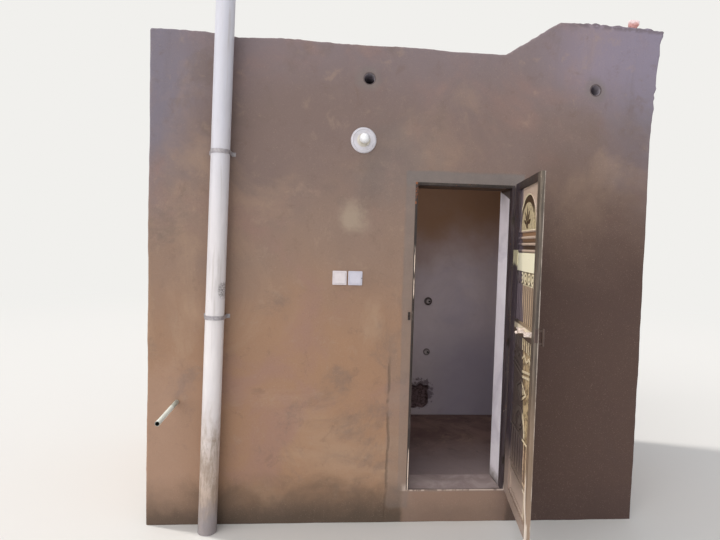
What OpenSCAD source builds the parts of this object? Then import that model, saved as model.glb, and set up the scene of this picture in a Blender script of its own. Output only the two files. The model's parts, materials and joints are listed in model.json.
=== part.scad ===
/* [House] */
// Width of the house at its foot, outside
house_w = 3100; // [2700:10:4200]
// Depth of the house, outside
house_d = 1720; // [1300:10:3000]
// Thickness of the masonry walls
wall_t = 220; // [160:5:300]
// Height of the floor and of the door sill above the ground
floor_z = 211; // [100:1:350]

/* [Parapet] */
// Height of the low stretch of the parapet above the ground
parapet_z = 2945; // [2880:5:3300]
// Rise of the parapet from its low to its high stretch
step_rise = 195; // [20:5:350]
// Distance from the right-hand corner to the foot of the rise
step_from_right = 962; // [600:2:1400]
// Width over which the parapet rises
step_run = 340; // [100:5:500]
// Height up to which the right-hand face is plumb
plumb_z = 2450; // [1800:10:2700]
// How far the right-hand face leans out over that height
lean_out = 32; // [0:1:60]
// Rough lip that stands out at the top of the right-hand face
lip_out = 22; // [0:1:40]
// Height of that lip
lip_h = 67; // [20:1:120]

/* [Roof] */
// Height of the roof surface at the front wall
roof_z = 2710; // [2600:5:2800]
// Rise of the roof surface from front to rear
roof_fall = 25; // [0:1:60]
// Thickness of the mud and cement screed at the front wall
screed_t = 50; // [30:1:90]
// Thickness of the boards under the screed
board_t = 22; // [12:1:40]
// Number of roof poles
pole_count = 5; // [5:1:5]
// Radius of a roof pole
pole_r = 50; // [30:1:70]
// Depth to which a pole is set in the wall
pole_seat = 120; // [60:5:150]
// Outer radius of a roof drain
drain_r = 37.5; // [25:0.5:60]
// Wall thickness of a roof drain
drain_t = 5; // [2:0.5:8]
// Distance from the doorway to the left-hand drain
drain_left = 318; // [200:2:600]
// Distance from the right-hand corner to the right-hand drain
drain_right = 385; // [300:5:500]

/* [Doorway] */
// Clear width of the doorway
door_w = 594; // [560:2:800]
// Clear height of the doorway above the sill
door_h = 1909; // [1800:1:2100]
// Distance from the right-hand corner to the doorway
door_from_right = 890; // [850:5:1000]
// Width of the steel frame's face
frame_face = 16; // [12:1:30]
// Depth of the steel frame
frame_depth = 48; // [44:1:80]
// Sheet thickness of the steel frame
frame_sheet = 3; // [2:0.5:5]

/* [Door leaf] */
// Angle at which the door stands open at rest
door_open = 80.5; // [0:0.5:150]
// Thickness of the leaf
leaf_t = 24; // [20:1:40]
// Clearance between the closed leaf and the wall face
leaf_gap = 8; // [8:1:15]
// Clearance under the leaf
leaf_lift = 11; // [6:1:20]
// Lap of the leaf over the frame at its top
leaf_lap = 4; // [2:1:12]
// Distance from the hinge axis to the leaf's edge
hinge_offset = 14; // [14:1:20]
// Width of the leaf's hinge stile
hinge_stile_w = 120; // [60:1:140]
// Width of the leaf's latch stile
latch_stile_w = 56; // [50:1:120]
// Height of the leaf's top rail
top_rail_h = 44; // [25:1:60]
// Height of the leaf's lock rail
lock_rail_h = 80; // [60:1:110]
// Height of the middle of the lock rail above the ground
lock_rail_z = 1290; // [1200:5:1400]
// Height of the leaf's bottom rail
bottom_rail_h = 60; // [40:1:100]
// Width of the square tube along the outer edge of each stile
edge_tube_w = 30; // [20:1:34]
// Thickness of the pressed panels
panel_t = 5; // [3:0.5:8]
// Height of the flat pressings over the sheet, on each face
relief = 5; // [2:0.5:8]
// Radius of the half-round mouldings
bead_r = 8; // [5:0.5:11]
// Distance from the top rail to the arch's crown
arch_gap = 46; // [20:2:100]
// Distance from the stiles to the arch's foot
arch_side = 18; // [14:1:50]
// Distance between the mouldings under the arch
band_pitch = 37; // [26:1:44]
// Height of the plain raised band under those mouldings
slab_h = 105; // [60:5:120]
// Height of the row of rings
ring_row_h = 76; // [50:2:90]
// Number of reeds beside each other in a row
reed_count = 9; // [5:2:11]

/* [Hinges, bolt and handle] */
// Radius of a hinge knuckle
knuckle_r = 9; // [8:0.5:9]
// Height of each half of a hinge
knuckle_h = 45; // [35:1:60]
// Radius of a hinge pin
pin_r = 5; // [4:0.5:6]
// Radius of the bolt
bolt_r = 6; // [4:0.5:8]
// Length of the bolt
bolt_len = 260; // [220:5:300]
// Distance from the leaf's inner face to the bolt's axis
bolt_stand = 26; // [24:1:30]
// Length of the pull handle
handle_len = 90; // [80:5:180]
// Distance from the leaf's outer face to the handle's axis
handle_stand = 32; // [30:1:55]

/* [Vent pipe] */
// Outer diameter of the vent pipe
pipe_d = 110; // [75:1:125]
// Wall thickness of the vent pipe
pipe_t = 3.2; // [2:0.1:6]
// Gap between the vent pipe and the wall
pipe_off = 20; // [10:1:40]
// Place of the pipe's foot from the left-hand corner
pipe_from_left = 391; // [350:5:600]
// Height of the pipe's open top
pipe_top = 3450; // [3300:10:3800]
// Lean of the pipe to the right, in degrees
pipe_lean = 1.1; // [0:0.1:1.5]
// Height of the upper clamp
clamp_upper_z = 2258; // [2100:2:2500]
// Height of the lower clamp
clamp_lower_z = 1293; // [1000:2:1500]
// Thickness of the clamps' strap
clamp_t = 3; // [2:0.5:5]
// Height of the clamps' strap
clamp_h = 24; // [16:1:40]
// Width of each clamp's foot
clamp_foot = 19; // [12:1:30]

/* [Fittings] */
// Place of the stub pipe from the left-hand corner
stub_from_left = 185; // [120:5:260]
// Height of the stub pipe above the ground
stub_z = 764; // [500:2:1000]
// Outer radius of the stub pipe
stub_r = 13.5; // [10:0.5:20]
// Wall thickness of the stub pipe
stub_t = 3; // [2:0.5:5]
// How far the stub pipe stands out of the wall
stub_out = 400; // [100:10:500]
// Depth to which the stub pipe is set in the wall
stub_seat = 120; // [60:5:150]
// Distance from the doorway to the lamp
lamp_from_door = 344; // [300:2:600]
// Height of the lamp
lamp_z = 2374; // [2150:2:2450]
// Diameter of the lamp's base
lamp_d = 155; // [130:1:180]
// Diameter of the lamp's holder
holder_d = 54; // [44:1:60]
// Height of the lamp's holder over the wall
holder_h = 34; // [30:1:60]
// Diameter of the lamp's bulb
bulb_d = 60; // [45:1:80]
// Side of a switch plate
plate_side = 86; // [80:1:120]
// Thickness of a switch plate
plate_t = 10; // [6:1:14]
// Width of the rim round a plate's rocker
plate_rim = 10; // [8:1:20]
// Gap between the two switch plates
plate_gap = 10; // [6:1:60]
// Distance from the doorway to the gap between the switch plates
plates_from_door = 420; // [300:2:600]
// Height of the switch plates' middle
plates_z = 1537; // [1200:5:1700]

/* [Back wall inside] */
// Radius of the upper wall outlet's flange
outlet_upper_r = 36; // [25:1:50]
// Radius of the lower wall outlet's flange
outlet_lower_r = 31; // [25:1:50]
// Place of the outlets from the right-hand corner
outlets_from_right = 1085; // [900:5:1200]
// Height of the upper wall outlet
outlet_upper_z = 1250; // [1100:5:1400]
// Height of the lower wall outlet
outlet_lower_z = 790; // [650:5:950]
// Distance from the right-hand corner to the broken patch
niche_from_right = 1057; // [900:5:1400]
// Height of the broken patch's lower edge above the floor
niche_up = 63; // [20:5:300]
// Width of the broken patch
niche_w = 163; // [80:5:300]
// Height of the broken patch
niche_h = 221; // [80:5:400]
// Depth of the broken patch in the wall
niche_depth = 45; // [20:5:110]

/* [Hidden] */
$fn = 64;

// Gap between a piece and the seat that holds it
seat = 0.3;
// Radial clearance of a pin in its bore
running = 0.05;

left_x = -house_w / 2;
right_x = house_w / 2;
front_y = -house_d / 2;
rear_y = house_d / 2;
room_w = house_w - 2 * wall_t;
room_d = house_d - 2 * wall_t;
room_front = front_y + wall_t;
room_rear = rear_y - wall_t;

// The parapet's worn top, from left to right: places from a corner and heights over its level
low_top = [[0, 22], [325, 21], [508, 0], [780, 7], [1141, -4], [1595, -7], [1985, -15]];
high_top = [[0, -4], [211, 5], [435, 3]];
step_x = right_x - step_from_right;
step_foot_drop = 14;
corner_drop = 10;
high_z = parapet_z + step_rise;
top_line = concat(
    [for (p = low_top) if (left_x + p[0] < step_x) [left_x + p[0], parapet_z + p[1]]],
    [[step_x, parapet_z - step_foot_drop]],
    [for (p = high_top) [step_x + step_run + p[0], high_z + p[1]]],
    [[right_x + lean_out + lip_out, high_z - corner_drop]]);
right_edge = [[right_x, 0], [right_x, plumb_z],
    [right_x + lean_out, high_z - corner_drop - lip_h], [right_x + lean_out + lip_out, high_z - corner_drop]];

door_x1 = right_x - door_from_right;
door_x0 = door_x1 - door_w;
door_top = floor_z + door_h;
frame_top = door_top + frame_face;

boards_z = roof_z - screed_t - board_t;
pole_z = boards_z - seat - pole_r;
pole_pitch = room_w / (pole_count + 1);
drain_z = roof_z + drain_r - drain_t + 2;
drain_left_x = door_x0 - drain_left;
drain_right_x = right_x - drain_right;

// The closed leaf, measured from the hinge axis: it lies to the left, its inner face to the rear
hinge_x = door_x1 + frame_face + knuckle_r - 1;
hinge_y = front_y - leaf_gap - leaf_t / 2;
leaf_x1 = -hinge_offset;
leaf_x0 = door_x0 - frame_face - 2 - hinge_x;
leaf_in = leaf_t / 2;
leaf_z0 = floor_z + leaf_lift;
leaf_z1 = frame_top + leaf_lap;
panel_x0 = leaf_x0 + latch_stile_w;
panel_x1 = leaf_x1 - hinge_stile_w;
panel_w = panel_x1 - panel_x0;
panel_mid = (panel_x0 + panel_x1) / 2;
lock_z0 = lock_rail_z - lock_rail_h / 2;
lock_z1 = lock_rail_z + lock_rail_h / 2;
upper_z1 = leaf_z1 - top_rail_h;
lower_z0 = leaf_z0 + bottom_rail_h;

// Width of the groove beside a stile's tube, and radius of the mouldings across a panel
groove_w = 5;
band_r = bead_r + 1;

// The hinges, by the height of the joint between their halves
hinge_zs = [leaf_z0 + 200, (leaf_z0 + leaf_z1) / 2, leaf_z1 - 200];
hinge_plate_t = 3;
pin_h = knuckle_h - 7;
bore_h = knuckle_h - 5;

// The bolt and its guides, along the leaf from the hinge axis
bolt_z = lock_rail_z + 10;
bolt_y = leaf_in + bolt_stand;
bolt_tip = door_x0 + 12 - hinge_x;
guide_w = 16;
guide_near_tip = bolt_tip + 30;
guide_far = bolt_tip + 190;
bolt_hole_r = bolt_r + 2;
knob_x = bolt_tip + 100;
knob_stem = 34;
staple_off = 15;

pipe_r = pipe_d / 2;
pipe_x = left_x + pipe_from_left;
pipe_y = front_y - pipe_off - pipe_r;
lamp_x = door_x0 - lamp_from_door;
plates_x = door_x0 - plates_from_door;
stub_x = left_x + stub_from_left;
outlets_x = right_x - outlets_from_right;

earth = [0.47, 0.38, 0.32];
lime = [0.72, 0.70, 0.68];
white = [0.92, 0.92, 0.90];
steel = [0.16, 0.14, 0.13];
bronze = [0.62, 0.56, 0.42];
timber = [0.42, 0.30, 0.20];

// The top line between two places, with both ends
function top_between(a, b) = concat([[a, lookup(a, top_line)]],
    [for (p = top_line) if (p[0] > a && p[0] < b) p], [[b, lookup(b, top_line)]]);

// A wall outline stood up along X, from front face y to y + t
module stand_up(y, t) {
    translate([0, y + t, 0])
        rotate([90, 0, 0])
            linear_extrude(height = t)
                children();
}

// A wall from a to b, from height z0 up to the worn parapet
module wall_outline(a, b, z0) {
    polygon(concat([[b, z0], [a, z0]], top_between(a, b)));
}

// A wall from a to the right-hand corner, whose face leans out near its top
module corner_outline(a) {
    last = len(top_line) - 1;
    polygon(concat([[a, 0]], right_edge,
        [for (i = [last - 1:-1:0]) if (top_line[i][0] > a) top_line[i]], [[a, lookup(a, top_line)]]));
}

// A rod along Y that starts at y and is h long
module along_y(x, y, z, r, h) {
    translate([x, y, z])
        rotate([-90, 0, 0])
            cylinder(r = r, h = h);
}

function pole_x(i) = -room_w / 2 + i * pole_pitch;

module pole_seats() {
    for (i = [1:pole_count])
        along_y(pole_x(i), room_front - pole_seat, pole_z, pole_r + seat, room_d + 2 * pole_seat);
}

// The rebate that takes the door frame, open to the front
module frame_rebate() {
    translate([door_x0 - frame_face, front_y - 1, floor_z])
        cube([door_w + 2 * frame_face, frame_depth + 1, door_h + frame_face]);
}

module drain_hole(x) {
    along_y(x, front_y - 1, drain_z, drain_r + seat, wall_t + 2);
}

module front_wall_left() {
    color(earth)
        difference() {
            stand_up(front_y, wall_t)
                wall_outline(left_x, door_x0, 0);
            frame_rebate();
            pole_seats();
            drain_hole(drain_left_x);
            along_y(stub_x, front_y - 1, stub_z, stub_r + seat, stub_seat + 1);
        }
}

module front_wall_right() {
    color(earth)
        difference() {
            stand_up(front_y, wall_t)
                corner_outline(door_x1);
            frame_rebate();
            pole_seats();
            drain_hole(drain_right_x);
        }
}

module front_wall_over_door() {
    color(earth)
        difference() {
            stand_up(front_y, wall_t)
                wall_outline(door_x0, door_x1, door_top);
            frame_rebate();
            pole_seats();
        }
}

module door_sill() {
    color(earth)
        translate([door_x0, front_y, 0])
            cube([door_w, wall_t, floor_z]);
}

module left_wall() {
    color(earth)
        stand_up(room_front, room_d)
            wall_outline(left_x, left_x + wall_t, 0);
}

module right_wall() {
    color(earth)
        stand_up(room_front, room_d)
            corner_outline(right_x - wall_t);
}

// The broken patch low on the back wall, as a shallow ragged recess. Its edge is in shares of its
// width and height
niche_edge = [[0.05, 0], [0.43, 0.05], [0.74, 0.02], [0.93, 0.14], [0.98, 0.43], [0.91, 0.68],
    [1, 0.93], [0.74, 0.89], [0.59, 1], [0.32, 0.86], [0.12, 0.94], [0, 0.63], [0.09, 0.38]];

module niche() {
    translate([right_x - niche_from_right - niche_w, room_rear + niche_depth, floor_z + niche_up])
        rotate([90, 0, 0])
            linear_extrude(height = niche_depth + 1)
                polygon([for (p = niche_edge) [p[0] * niche_w, p[1] * niche_h]]);
}

module rear_wall() {
    color(earth)
        difference() {
            stand_up(room_rear, wall_t)
                corner_outline(left_x);
            pole_seats();
            niche();
        }
}

module floor_slab() {
    color(lime)
        translate([-room_w / 2, room_front, 0])
            cube([room_w, room_d, floor_z]);
}

module roof_pole(i) {
    color(timber)
        along_y(pole_x(i), room_front - pole_seat + seat, pole_z, pole_r, room_d + 2 * (pole_seat - seat));
}

module roof_boards() {
    color(timber)
        translate([-room_w / 2, room_front, boards_z])
            cube([room_w, room_d, board_t]);
}

// The screed falls towards the drains in the front wall
module roof_screed() {
    color(earth)
        translate([-room_w / 2, 0, 0])
            rotate([90, 0, 90])
                linear_extrude(height = room_w)
                    polygon([[room_front, boards_z + board_t], [room_rear, boards_z + board_t],
                        [room_rear, roof_z + roof_fall], [room_front, roof_z]]);
}

module drain_sleeve(x) {
    color(white)
        difference() {
            along_y(x, front_y, drain_z, drain_r, wall_t);
            along_y(x, front_y - 1, drain_z, drain_r - drain_t, wall_t + 2);
        }
}

// What follows the leaning pipe is drawn on an upright axis at the pipe's foot
module on_pipe() {
    translate([pipe_x, pipe_y, 0])
        rotate([0, pipe_lean, 0])
            children();
}

module vent_pipe() {
    color(white)
        difference() {
            on_pipe()
                translate([0, 0, -pipe_r])
                    difference() {
                        cylinder(r = pipe_r, h = pipe_top + pipe_r);
                        translate([0, 0, -1])
                            cylinder(r = pipe_r - pipe_t, h = pipe_top + pipe_r + 2);
                    }
            translate([pipe_x - pipe_d, pipe_y - pipe_d, -2 * pipe_d])
                cube([2 * pipe_d, 2 * pipe_d, 2 * pipe_d]);
        }
}

// A strap bent round the pipe, with a foot on the wall at each side
module pipe_clamp(z) {
    inner = pipe_r + seat;
    outer = inner + clamp_t;
    back = pipe_r + pipe_off;
    color("silver")
        on_pipe()
            translate([0, 0, z - clamp_h / 2])
                linear_extrude(height = clamp_h)
                    difference() {
                        union() {
                            circle(r = outer);
                            translate([-outer, 0])
                                square([2 * outer, back]);
                            translate([-outer - clamp_foot, back - clamp_t])
                                square([2 * (outer + clamp_foot), clamp_t]);
                        }
                        circle(r = inner);
                        translate([-inner, 0])
                            square([2 * inner, back + 1]);
                    }
}

module stub_pipe() {
    color(white)
        difference() {
            along_y(stub_x, front_y - stub_out, stub_z, stub_r, stub_out + stub_seat - seat);
            along_y(stub_x, front_y - stub_out - 1, stub_z, stub_r - stub_t, stub_out + stub_seat + 2);
        }
}

// A turned outline set on the front wall, its axis pointing to the front
module on_front(x, z) {
    translate([x, front_y, z])
        rotate([90, 0, 0])
            rotate_extrude()
                children();
}

bulb_neck = 13;
socket_z = 22;
bulb_mid = holder_h + bulb_d * 0.62;

// The base is a stepped disc with a holder like a collar, whose socket takes the bulb's neck
module lamp_base() {
    r = lamp_d / 2;
    foot = holder_d / 2;
    rim_h = 6;
    color(white)
        on_front(lamp_x, lamp_z)
            polygon([[0, 0], [r, 0], [r, rim_h], [r - 4, rim_h + 5], [r - 12, rim_h + 8],
                [r - 15, rim_h + 5], [foot + 14, rim_h + 5], [foot + 10, rim_h + 9],
                [foot + 3, rim_h + 11], [foot, socket_z], [foot, holder_h - 3], [foot - 3, holder_h],
                [bulb_neck, holder_h], [bulb_neck, socket_z], [0, socket_z]]);
}

module lamp_bulb() {
    color("white")
        on_front(lamp_x, lamp_z)
            intersection() {
                union() {
                    translate([0, bulb_mid])
                        circle(r = bulb_d / 2);
                    translate([0, socket_z])
                        square([bulb_neck - seat, bulb_mid - socket_z]);
                }
                square([bulb_d, bulb_mid + bulb_d]);
            }
}

module round_square(side, corner) {
    union() {
        square([side, side - 2 * corner], center = true);
        square([side - 2 * corner, side], center = true);
        for (sx = [-1, 1], sy = [-1, 1])
            translate([sx * (side / 2 - corner), sy * (side / 2 - corner)])
                circle(r = corner);
    }
}

// A square plate with a stepped rim and, in a groove, one large rocker that stands proud
module switch_plate(x) {
    groove = 2;
    rocker = plate_side - 2 * plate_rim;
    color(white)
        translate([x, front_y, plates_z])
            rotate([90, 0, 0])
                union() {
                    linear_extrude(height = plate_t - 3)
                        round_square(plate_side, 5);
                    linear_extrude(height = plate_t)
                        difference() {
                            round_square(plate_side - 6, 4);
                            square([rocker + 2 * groove, rocker + 2 * groove], center = true);
                        }
                    translate([-rocker / 2, -rocker / 2, 0])
                        cube([rocker, rocker, plate_t + 2]);
                }
}

// A flange on the back wall with a short open collar
module wall_outlet(z, r) {
    collar = r * 0.62;
    color(white)
        translate([outlets_x, room_rear, z])
            rotate([90, 0, 0])
                difference() {
                    union() {
                        cylinder(r = r, h = 6);
                        cylinder(r = collar, h = 20);
                    }
                    translate([0, 0, 4])
                        cylinder(r = collar - 4, h = 20);
                }
}

// A length of the frame's folded section, open towards the masonry; its web faces +X
module frame_section(h) {
    difference() {
        cube([frame_face, frame_depth, h]);
        translate([-1, frame_sheet, -1])
            cube([frame_face - frame_sheet + 1, frame_depth - 2 * frame_sheet, h + 2]);
    }
}

module door_frame_hinge_jamb() {
    color(steel)
        translate([door_x1 + frame_face, front_y, floor_z])
            mirror([1, 0, 0])
                frame_section(door_h + frame_face);
}

module door_frame_latch_jamb() {
    color(steel)
        difference() {
            translate([door_x0 - frame_face, front_y, floor_z])
                frame_section(door_h + frame_face);
            translate([door_x0 - frame_face / 2, hinge_y + bolt_y, bolt_z])
                rotate([0, 90, 0])
                    cylinder(r = bolt_hole_r, h = frame_face);
        }
}

module door_frame_head() {
    color(steel)
        translate([door_x0, front_y, frame_top])
            rotate([0, 90, 0])
                frame_section(door_w);
}

// The staple beside the latch jamb, for a padlock outside
module latch_staple() {
    staple_x = door_x0 - frame_face - staple_off;
    staple_z = bolt_z + 10;
    loop_r = 11;
    rod_r = 3;
    leg = 14;
    plate_w = 14;
    plate_h = 50;
    sheet_t = 3;
    color(steel)
        union() {
            translate([staple_x - plate_w / 2, front_y - sheet_t, staple_z - plate_h / 2])
                cube([plate_w, sheet_t, plate_h]);
            translate([staple_x, front_y - leg, staple_z])
                rotate([0, 90, 0])
                    rotate([0, 0, 180])
                        rotate_extrude(angle = 180)
                            translate([loop_r, 0])
                                circle(r = rod_r);
            for (s = [-1, 1])
                along_y(staple_x, front_y - leg, staple_z + s * loop_r, rod_r, leg - sheet_t / 2);
        }
}

// A knuckle with its pin, an arm back to the wall face and a plate over the frame's face
module hinge_pins() {
    arm_w = 12;
    plate_x0 = -frame_face - knuckle_r + 3;
    plate_x1 = 12;
    color(steel)
        for (z = hinge_zs)
            translate([hinge_x, hinge_y, z - knuckle_h])
                union() {
                    cylinder(r = knuckle_r, h = knuckle_h);
                    cylinder(r = pin_r, h = knuckle_h + pin_h);
                    translate([-arm_w / 2, 0, 0])
                        cube([arm_w, front_y - hinge_y, knuckle_h]);
                    translate([plate_x0, front_y - hinge_y - hinge_plate_t, 0])
                        cube([plate_x1 - plate_x0, hinge_plate_t, knuckle_h]);
                }
}

// What follows the leaf is drawn as it is when closed, from the hinge axis
module on_leaf() {
    translate([hinge_x, hinge_y, 0])
        rotate([0, 0, door_open])
            children();
}

module leaf_bar(x0, x1, z0, z1) {
    color(steel)
        on_leaf()
            translate([x0, -leaf_in, z0])
                cube([x1 - x0, leaf_t, z1 - z0]);
}

// A stile is a square tube along the leaf's edge and a filled strip, with a groove between them
module leaf_stile(x0, x1, groove_x) {
    groove_d = 3;
    color(steel)
        on_leaf()
            difference() {
                translate([x0, -leaf_in, leaf_z0])
                    cube([x1 - x0, leaf_t, leaf_z1 - leaf_z0]);
                for (y = [-leaf_in - 1, leaf_in - groove_d])
                    translate([groove_x, y, lower_z0])
                        cube([groove_w, groove_d + 1, upper_z1 - lower_z0]);
            }
}

module leaf_hinge_stile() {
    leaf_stile(panel_x1, leaf_x1, leaf_x1 - edge_tube_w - groove_w);
}

module leaf_latch_stile() {
    leaf_stile(leaf_x0, panel_x0, leaf_x0 + edge_tube_w);
}

module leaf_top_rail() {
    leaf_bar(panel_x0, panel_x1, upper_z1, leaf_z1);
}

module leaf_lock_rail() {
    leaf_bar(panel_x0, panel_x1, lock_z0, lock_z1);
}

module leaf_bottom_rail() {
    leaf_bar(panel_x0, panel_x1, leaf_z0, lower_z0);
}

module sheet(z0, z1) {
    translate([panel_x0, -panel_t / 2, z0])
        cube([panel_w, panel_t, z1 - z0]);
}

// A moulding across the panel, half-round on both faces of the sheet
module band(z, r) {
    translate([panel_x0, 0, z])
        rotate([0, 90, 0])
            cylinder(r = r, h = panel_w);
}

// The same moulding along an arch over the panel's middle
module arch_bead(z, radius, r) {
    translate([panel_mid, 0, z])
        rotate([90, 0, 0])
            rotate_extrude(angle = 180)
                translate([radius, 0])
                    circle(r = r);
}

// Upright mouldings side by side
module reeds(z0, z1, count) {
    for (i = [0:count - 1])
        translate([panel_x0 + (i + 0.5) * panel_w / count, 0, z0])
            cylinder(r = bead_r, h = z1 - z0);
}

// A flat pressing that stands h out of both faces of the sheet, drawn from the panel's middle
module pressed(z, h) {
    translate([panel_mid, 0, z])
        rotate([90, 0, 0])
            translate([0, 0, -panel_t / 2 - h])
                linear_extrude(height = panel_t + 2 * h)
                    children();
}

// A leaf with two pointed ends that stands on the origin
module petal(length, width) {
    r = (length * length + width * width) / (4 * width);
    translate([0, length / 2])
        intersection() {
            translate([r - width / 2, 0])
                circle(r = r);
            translate([width / 2 - r, 0])
                circle(r = r);
        }
}

// A fan of leaves round a boss that stands on the origin
module palmette(size) {
    root = size * 0.2;
    lap = 3;
    translate([0, root + lap])
        union() {
            circle(r = root + lap);
            for (a = [-72:36:72])
                rotate(a)
                    translate([0, root])
                        petal(size * (1 - abs(a) / 300), size * 0.24);
        }
}

module pointed_arch(w, h) {
    r = (h * h + w * w / 4) / w;
    intersection() {
        translate([r - w / 2, 0])
            circle(r = r);
        translate([w / 2 - r, 0])
            circle(r = r);
        translate([-w, 0])
            square([2 * w, 2 * h]);
    }
}

module ring_with_boss(r) {
    union() {
        difference() {
            circle(r = r);
            circle(r = r * 0.68);
        }
        circle(r = r * 0.32);
    }
}

module lozenge(w, h) {
    polygon([[-w / 2, 0], [0, -h / 2], [w / 2, 0], [0, h / 2]]);
}

// A band that follows points [x, z], t high
module stroke(points, t) {
    last = len(points) - 1;
    polygon(concat([for (p = points) [p[0], p[1] + t / 2]],
        [for (i = [last:-1:0]) [points[i][0], points[i][1] - t / 2]]));
}

// From the top: the arch with its pointed field and palmette, the mouldings, the plain raised
// band, the row of rings, and reeds down to the lock rail
module leaf_upper_panel() {
    arch_r = panel_w / 2 - arch_side;
    spring_z = upper_z1 - arch_gap - arch_r;
    slab_z1 = spring_z - 3 * band_pitch - band_r - 2;
    slab_z0 = slab_z1 - slab_h;
    reed_z1 = slab_z0 - ring_row_h;
    field_w = 2 * arch_r - 80;
    field_h = arch_r - 45;
    ring_count = 5;
    ring_pitch = panel_w / ring_count;
    color(bronze)
        on_leaf()
            union() {
                sheet(lock_z1, upper_z1);
                arch_bead(spring_z, arch_r, bead_r);
                for (i = [0:3])
                    band(spring_z - i * band_pitch, band_r);
                pressed(spring_z, relief)
                    pointed_arch(field_w, field_h);
                pressed(spring_z + band_r + 5, relief + 3)
                    palmette(field_h * 0.55);
                pressed(slab_z0, relief)
                    translate([-panel_w / 2, 0])
                        square([panel_w, slab_h]);
                pressed(slab_z0 - ring_row_h / 2, relief)
                    for (i = [0:ring_count - 1])
                        translate([(i + 0.5) * ring_pitch - panel_w / 2, 0])
                            ring_with_boss(ring_row_h * 0.44);
                reeds(lock_z1, reed_z1, reed_count);
            }
}

// From the top, in shares of the panel's height: reeds, a zigzag, two chevrons, a lozenge, a
// pointed arch, tall reeds and a plain kicking plate with a raised border
module leaf_lower_panel() {
    fall = lock_z0 - lower_z0;
    teeth = 8;
    tooth = 30;
    stroke_t = 14;
    field_w = panel_w * 0.62;
    lozenge_h = fall * 0.135;
    arch_h = fall * 0.145;
    reed_z0 = lock_z0 - fall * 0.8;
    kick_h = fall * 0.15;
    kick_w = panel_w - 60;
    border = 12;
    color(bronze)
        on_leaf()
            union() {
                sheet(lower_z0, lock_z0);
                reeds(lock_z0 - fall * 0.072, lock_z0, reed_count);
                pressed(lock_z0 - fall * 0.11, relief)
                    stroke([for (i = [0:teeth]) [(i / teeth - 0.5) * panel_w, (i % 2 - 0.5) * tooth]],
                        stroke_t);
                for (f = [0.165, 0.195])
                    pressed(lock_z0 - fall * f, relief)
                        stroke([[-panel_w / 2, 0], [0, -tooth], [panel_w / 2, 0]], stroke_t);
                pressed(lock_z0 - fall * 0.31, relief)
                    difference() {
                        lozenge(field_w, lozenge_h);
                        lozenge(field_w - 60, lozenge_h - 30);
                    }
                pressed(lock_z0 - fall * 0.31, relief)
                    lozenge(field_w - 110, lozenge_h - 55);
                pressed(lock_z0 - fall * 0.55, relief)
                    difference() {
                        pointed_arch(field_w, arch_h);
                        pointed_arch(field_w - 44, arch_h - 26);
                    }
                pressed(lock_z0 - fall * 0.55 + 6, relief)
                    palmette(arch_h * 0.42);
                band(lock_z0 - fall * 0.57, band_r);
                reeds(reed_z0, lock_z0 - fall * 0.57, reed_count - 2);
                band(reed_z0, band_r);
                pressed(lower_z0 + fall * 0.02, relief)
                    difference() {
                        translate([-kick_w / 2, 0])
                            square([kick_w, kick_h]);
                        translate([border - kick_w / 2, border])
                            square([kick_w - 2 * border, kick_h - 2 * border]);
                    }
            }
}

module hinge_sleeves() {
    color(steel)
        on_leaf()
            for (z = hinge_zs)
                translate([0, 0, z + 1])
                    difference() {
                        union() {
                            cylinder(r = knuckle_r, h = knuckle_h);
                            translate([leaf_x1, -4, 0])
                                cube([hinge_offset, 8, knuckle_h]);
                        }
                        translate([0, 0, -1])
                            cylinder(r = pin_r + running, h = bore_h + 1);
                    }
}

module pull_handle() {
    handle_x = (leaf_x0 + edge_tube_w + groove_w + panel_x0) / 2;
    grip_r = 7;
    foot_r = 6;
    foot_in = 12;
    color(steel)
        on_leaf()
            union() {
                translate([handle_x, -leaf_in - handle_stand, lock_rail_z - handle_len / 2])
                    cylinder(r = grip_r, h = handle_len);
                for (s = [-1, 1])
                    along_y(handle_x, -leaf_in - handle_stand, lock_rail_z + s * (handle_len / 2 - foot_in),
                        foot_r, handle_stand);
            }
}

module bolt_guides() {
    color(steel)
        on_leaf()
            for (x = [guide_near_tip, guide_far])
                difference() {
                    translate([x - guide_w / 2, leaf_in, bolt_z - bolt_r - 6])
                        cube([guide_w, bolt_stand + bolt_r + 6, 2 * bolt_r + 12]);
                    translate([x - guide_w, bolt_y, bolt_z])
                        rotate([0, 90, 0])
                            cylinder(r = bolt_r + running, h = 2 * guide_w);
                }
}

module door_bolt() {
    color("silver")
        on_leaf()
            union() {
                translate([bolt_tip, bolt_y, bolt_z])
                    rotate([0, 90, 0])
                        cylinder(r = bolt_r, h = bolt_len);
                along_y(knob_x, bolt_y, bolt_z, 5, knob_stem);
                translate([knob_x, bolt_y + knob_stem + 2, bolt_z])
                    sphere(r = 9);
            }
}

front_wall_left();
front_wall_right();
front_wall_over_door();
door_sill();
left_wall();
right_wall();
rear_wall();
floor_slab();
roof_pole(1);  // roof_pole_1
roof_pole(2);  // roof_pole_2
roof_pole(3);  // roof_pole_3
roof_pole(4);  // roof_pole_4
roof_pole(5);  // roof_pole_5
roof_boards();
roof_screed();
drain_sleeve(drain_left_x);  // drain_sleeve_left
drain_sleeve(drain_right_x);  // drain_sleeve_right
vent_pipe();
pipe_clamp(clamp_upper_z);  // pipe_clamp_upper
pipe_clamp(clamp_lower_z);  // pipe_clamp_lower
stub_pipe();
lamp_base();
lamp_bulb();
switch_plate(plates_x - (plate_side + plate_gap) / 2);  // switch_plate_left
switch_plate(plates_x + (plate_side + plate_gap) / 2);  // switch_plate_right
wall_outlet(outlet_upper_z, outlet_upper_r);  // wall_outlet_upper
wall_outlet(outlet_lower_z, outlet_lower_r);  // wall_outlet_lower
door_frame_hinge_jamb();
door_frame_latch_jamb();
door_frame_head();
latch_staple();
hinge_pins();
leaf_hinge_stile();
leaf_latch_stile();
leaf_top_rail();
leaf_lock_rail();
leaf_bottom_rail();
leaf_upper_panel();
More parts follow.
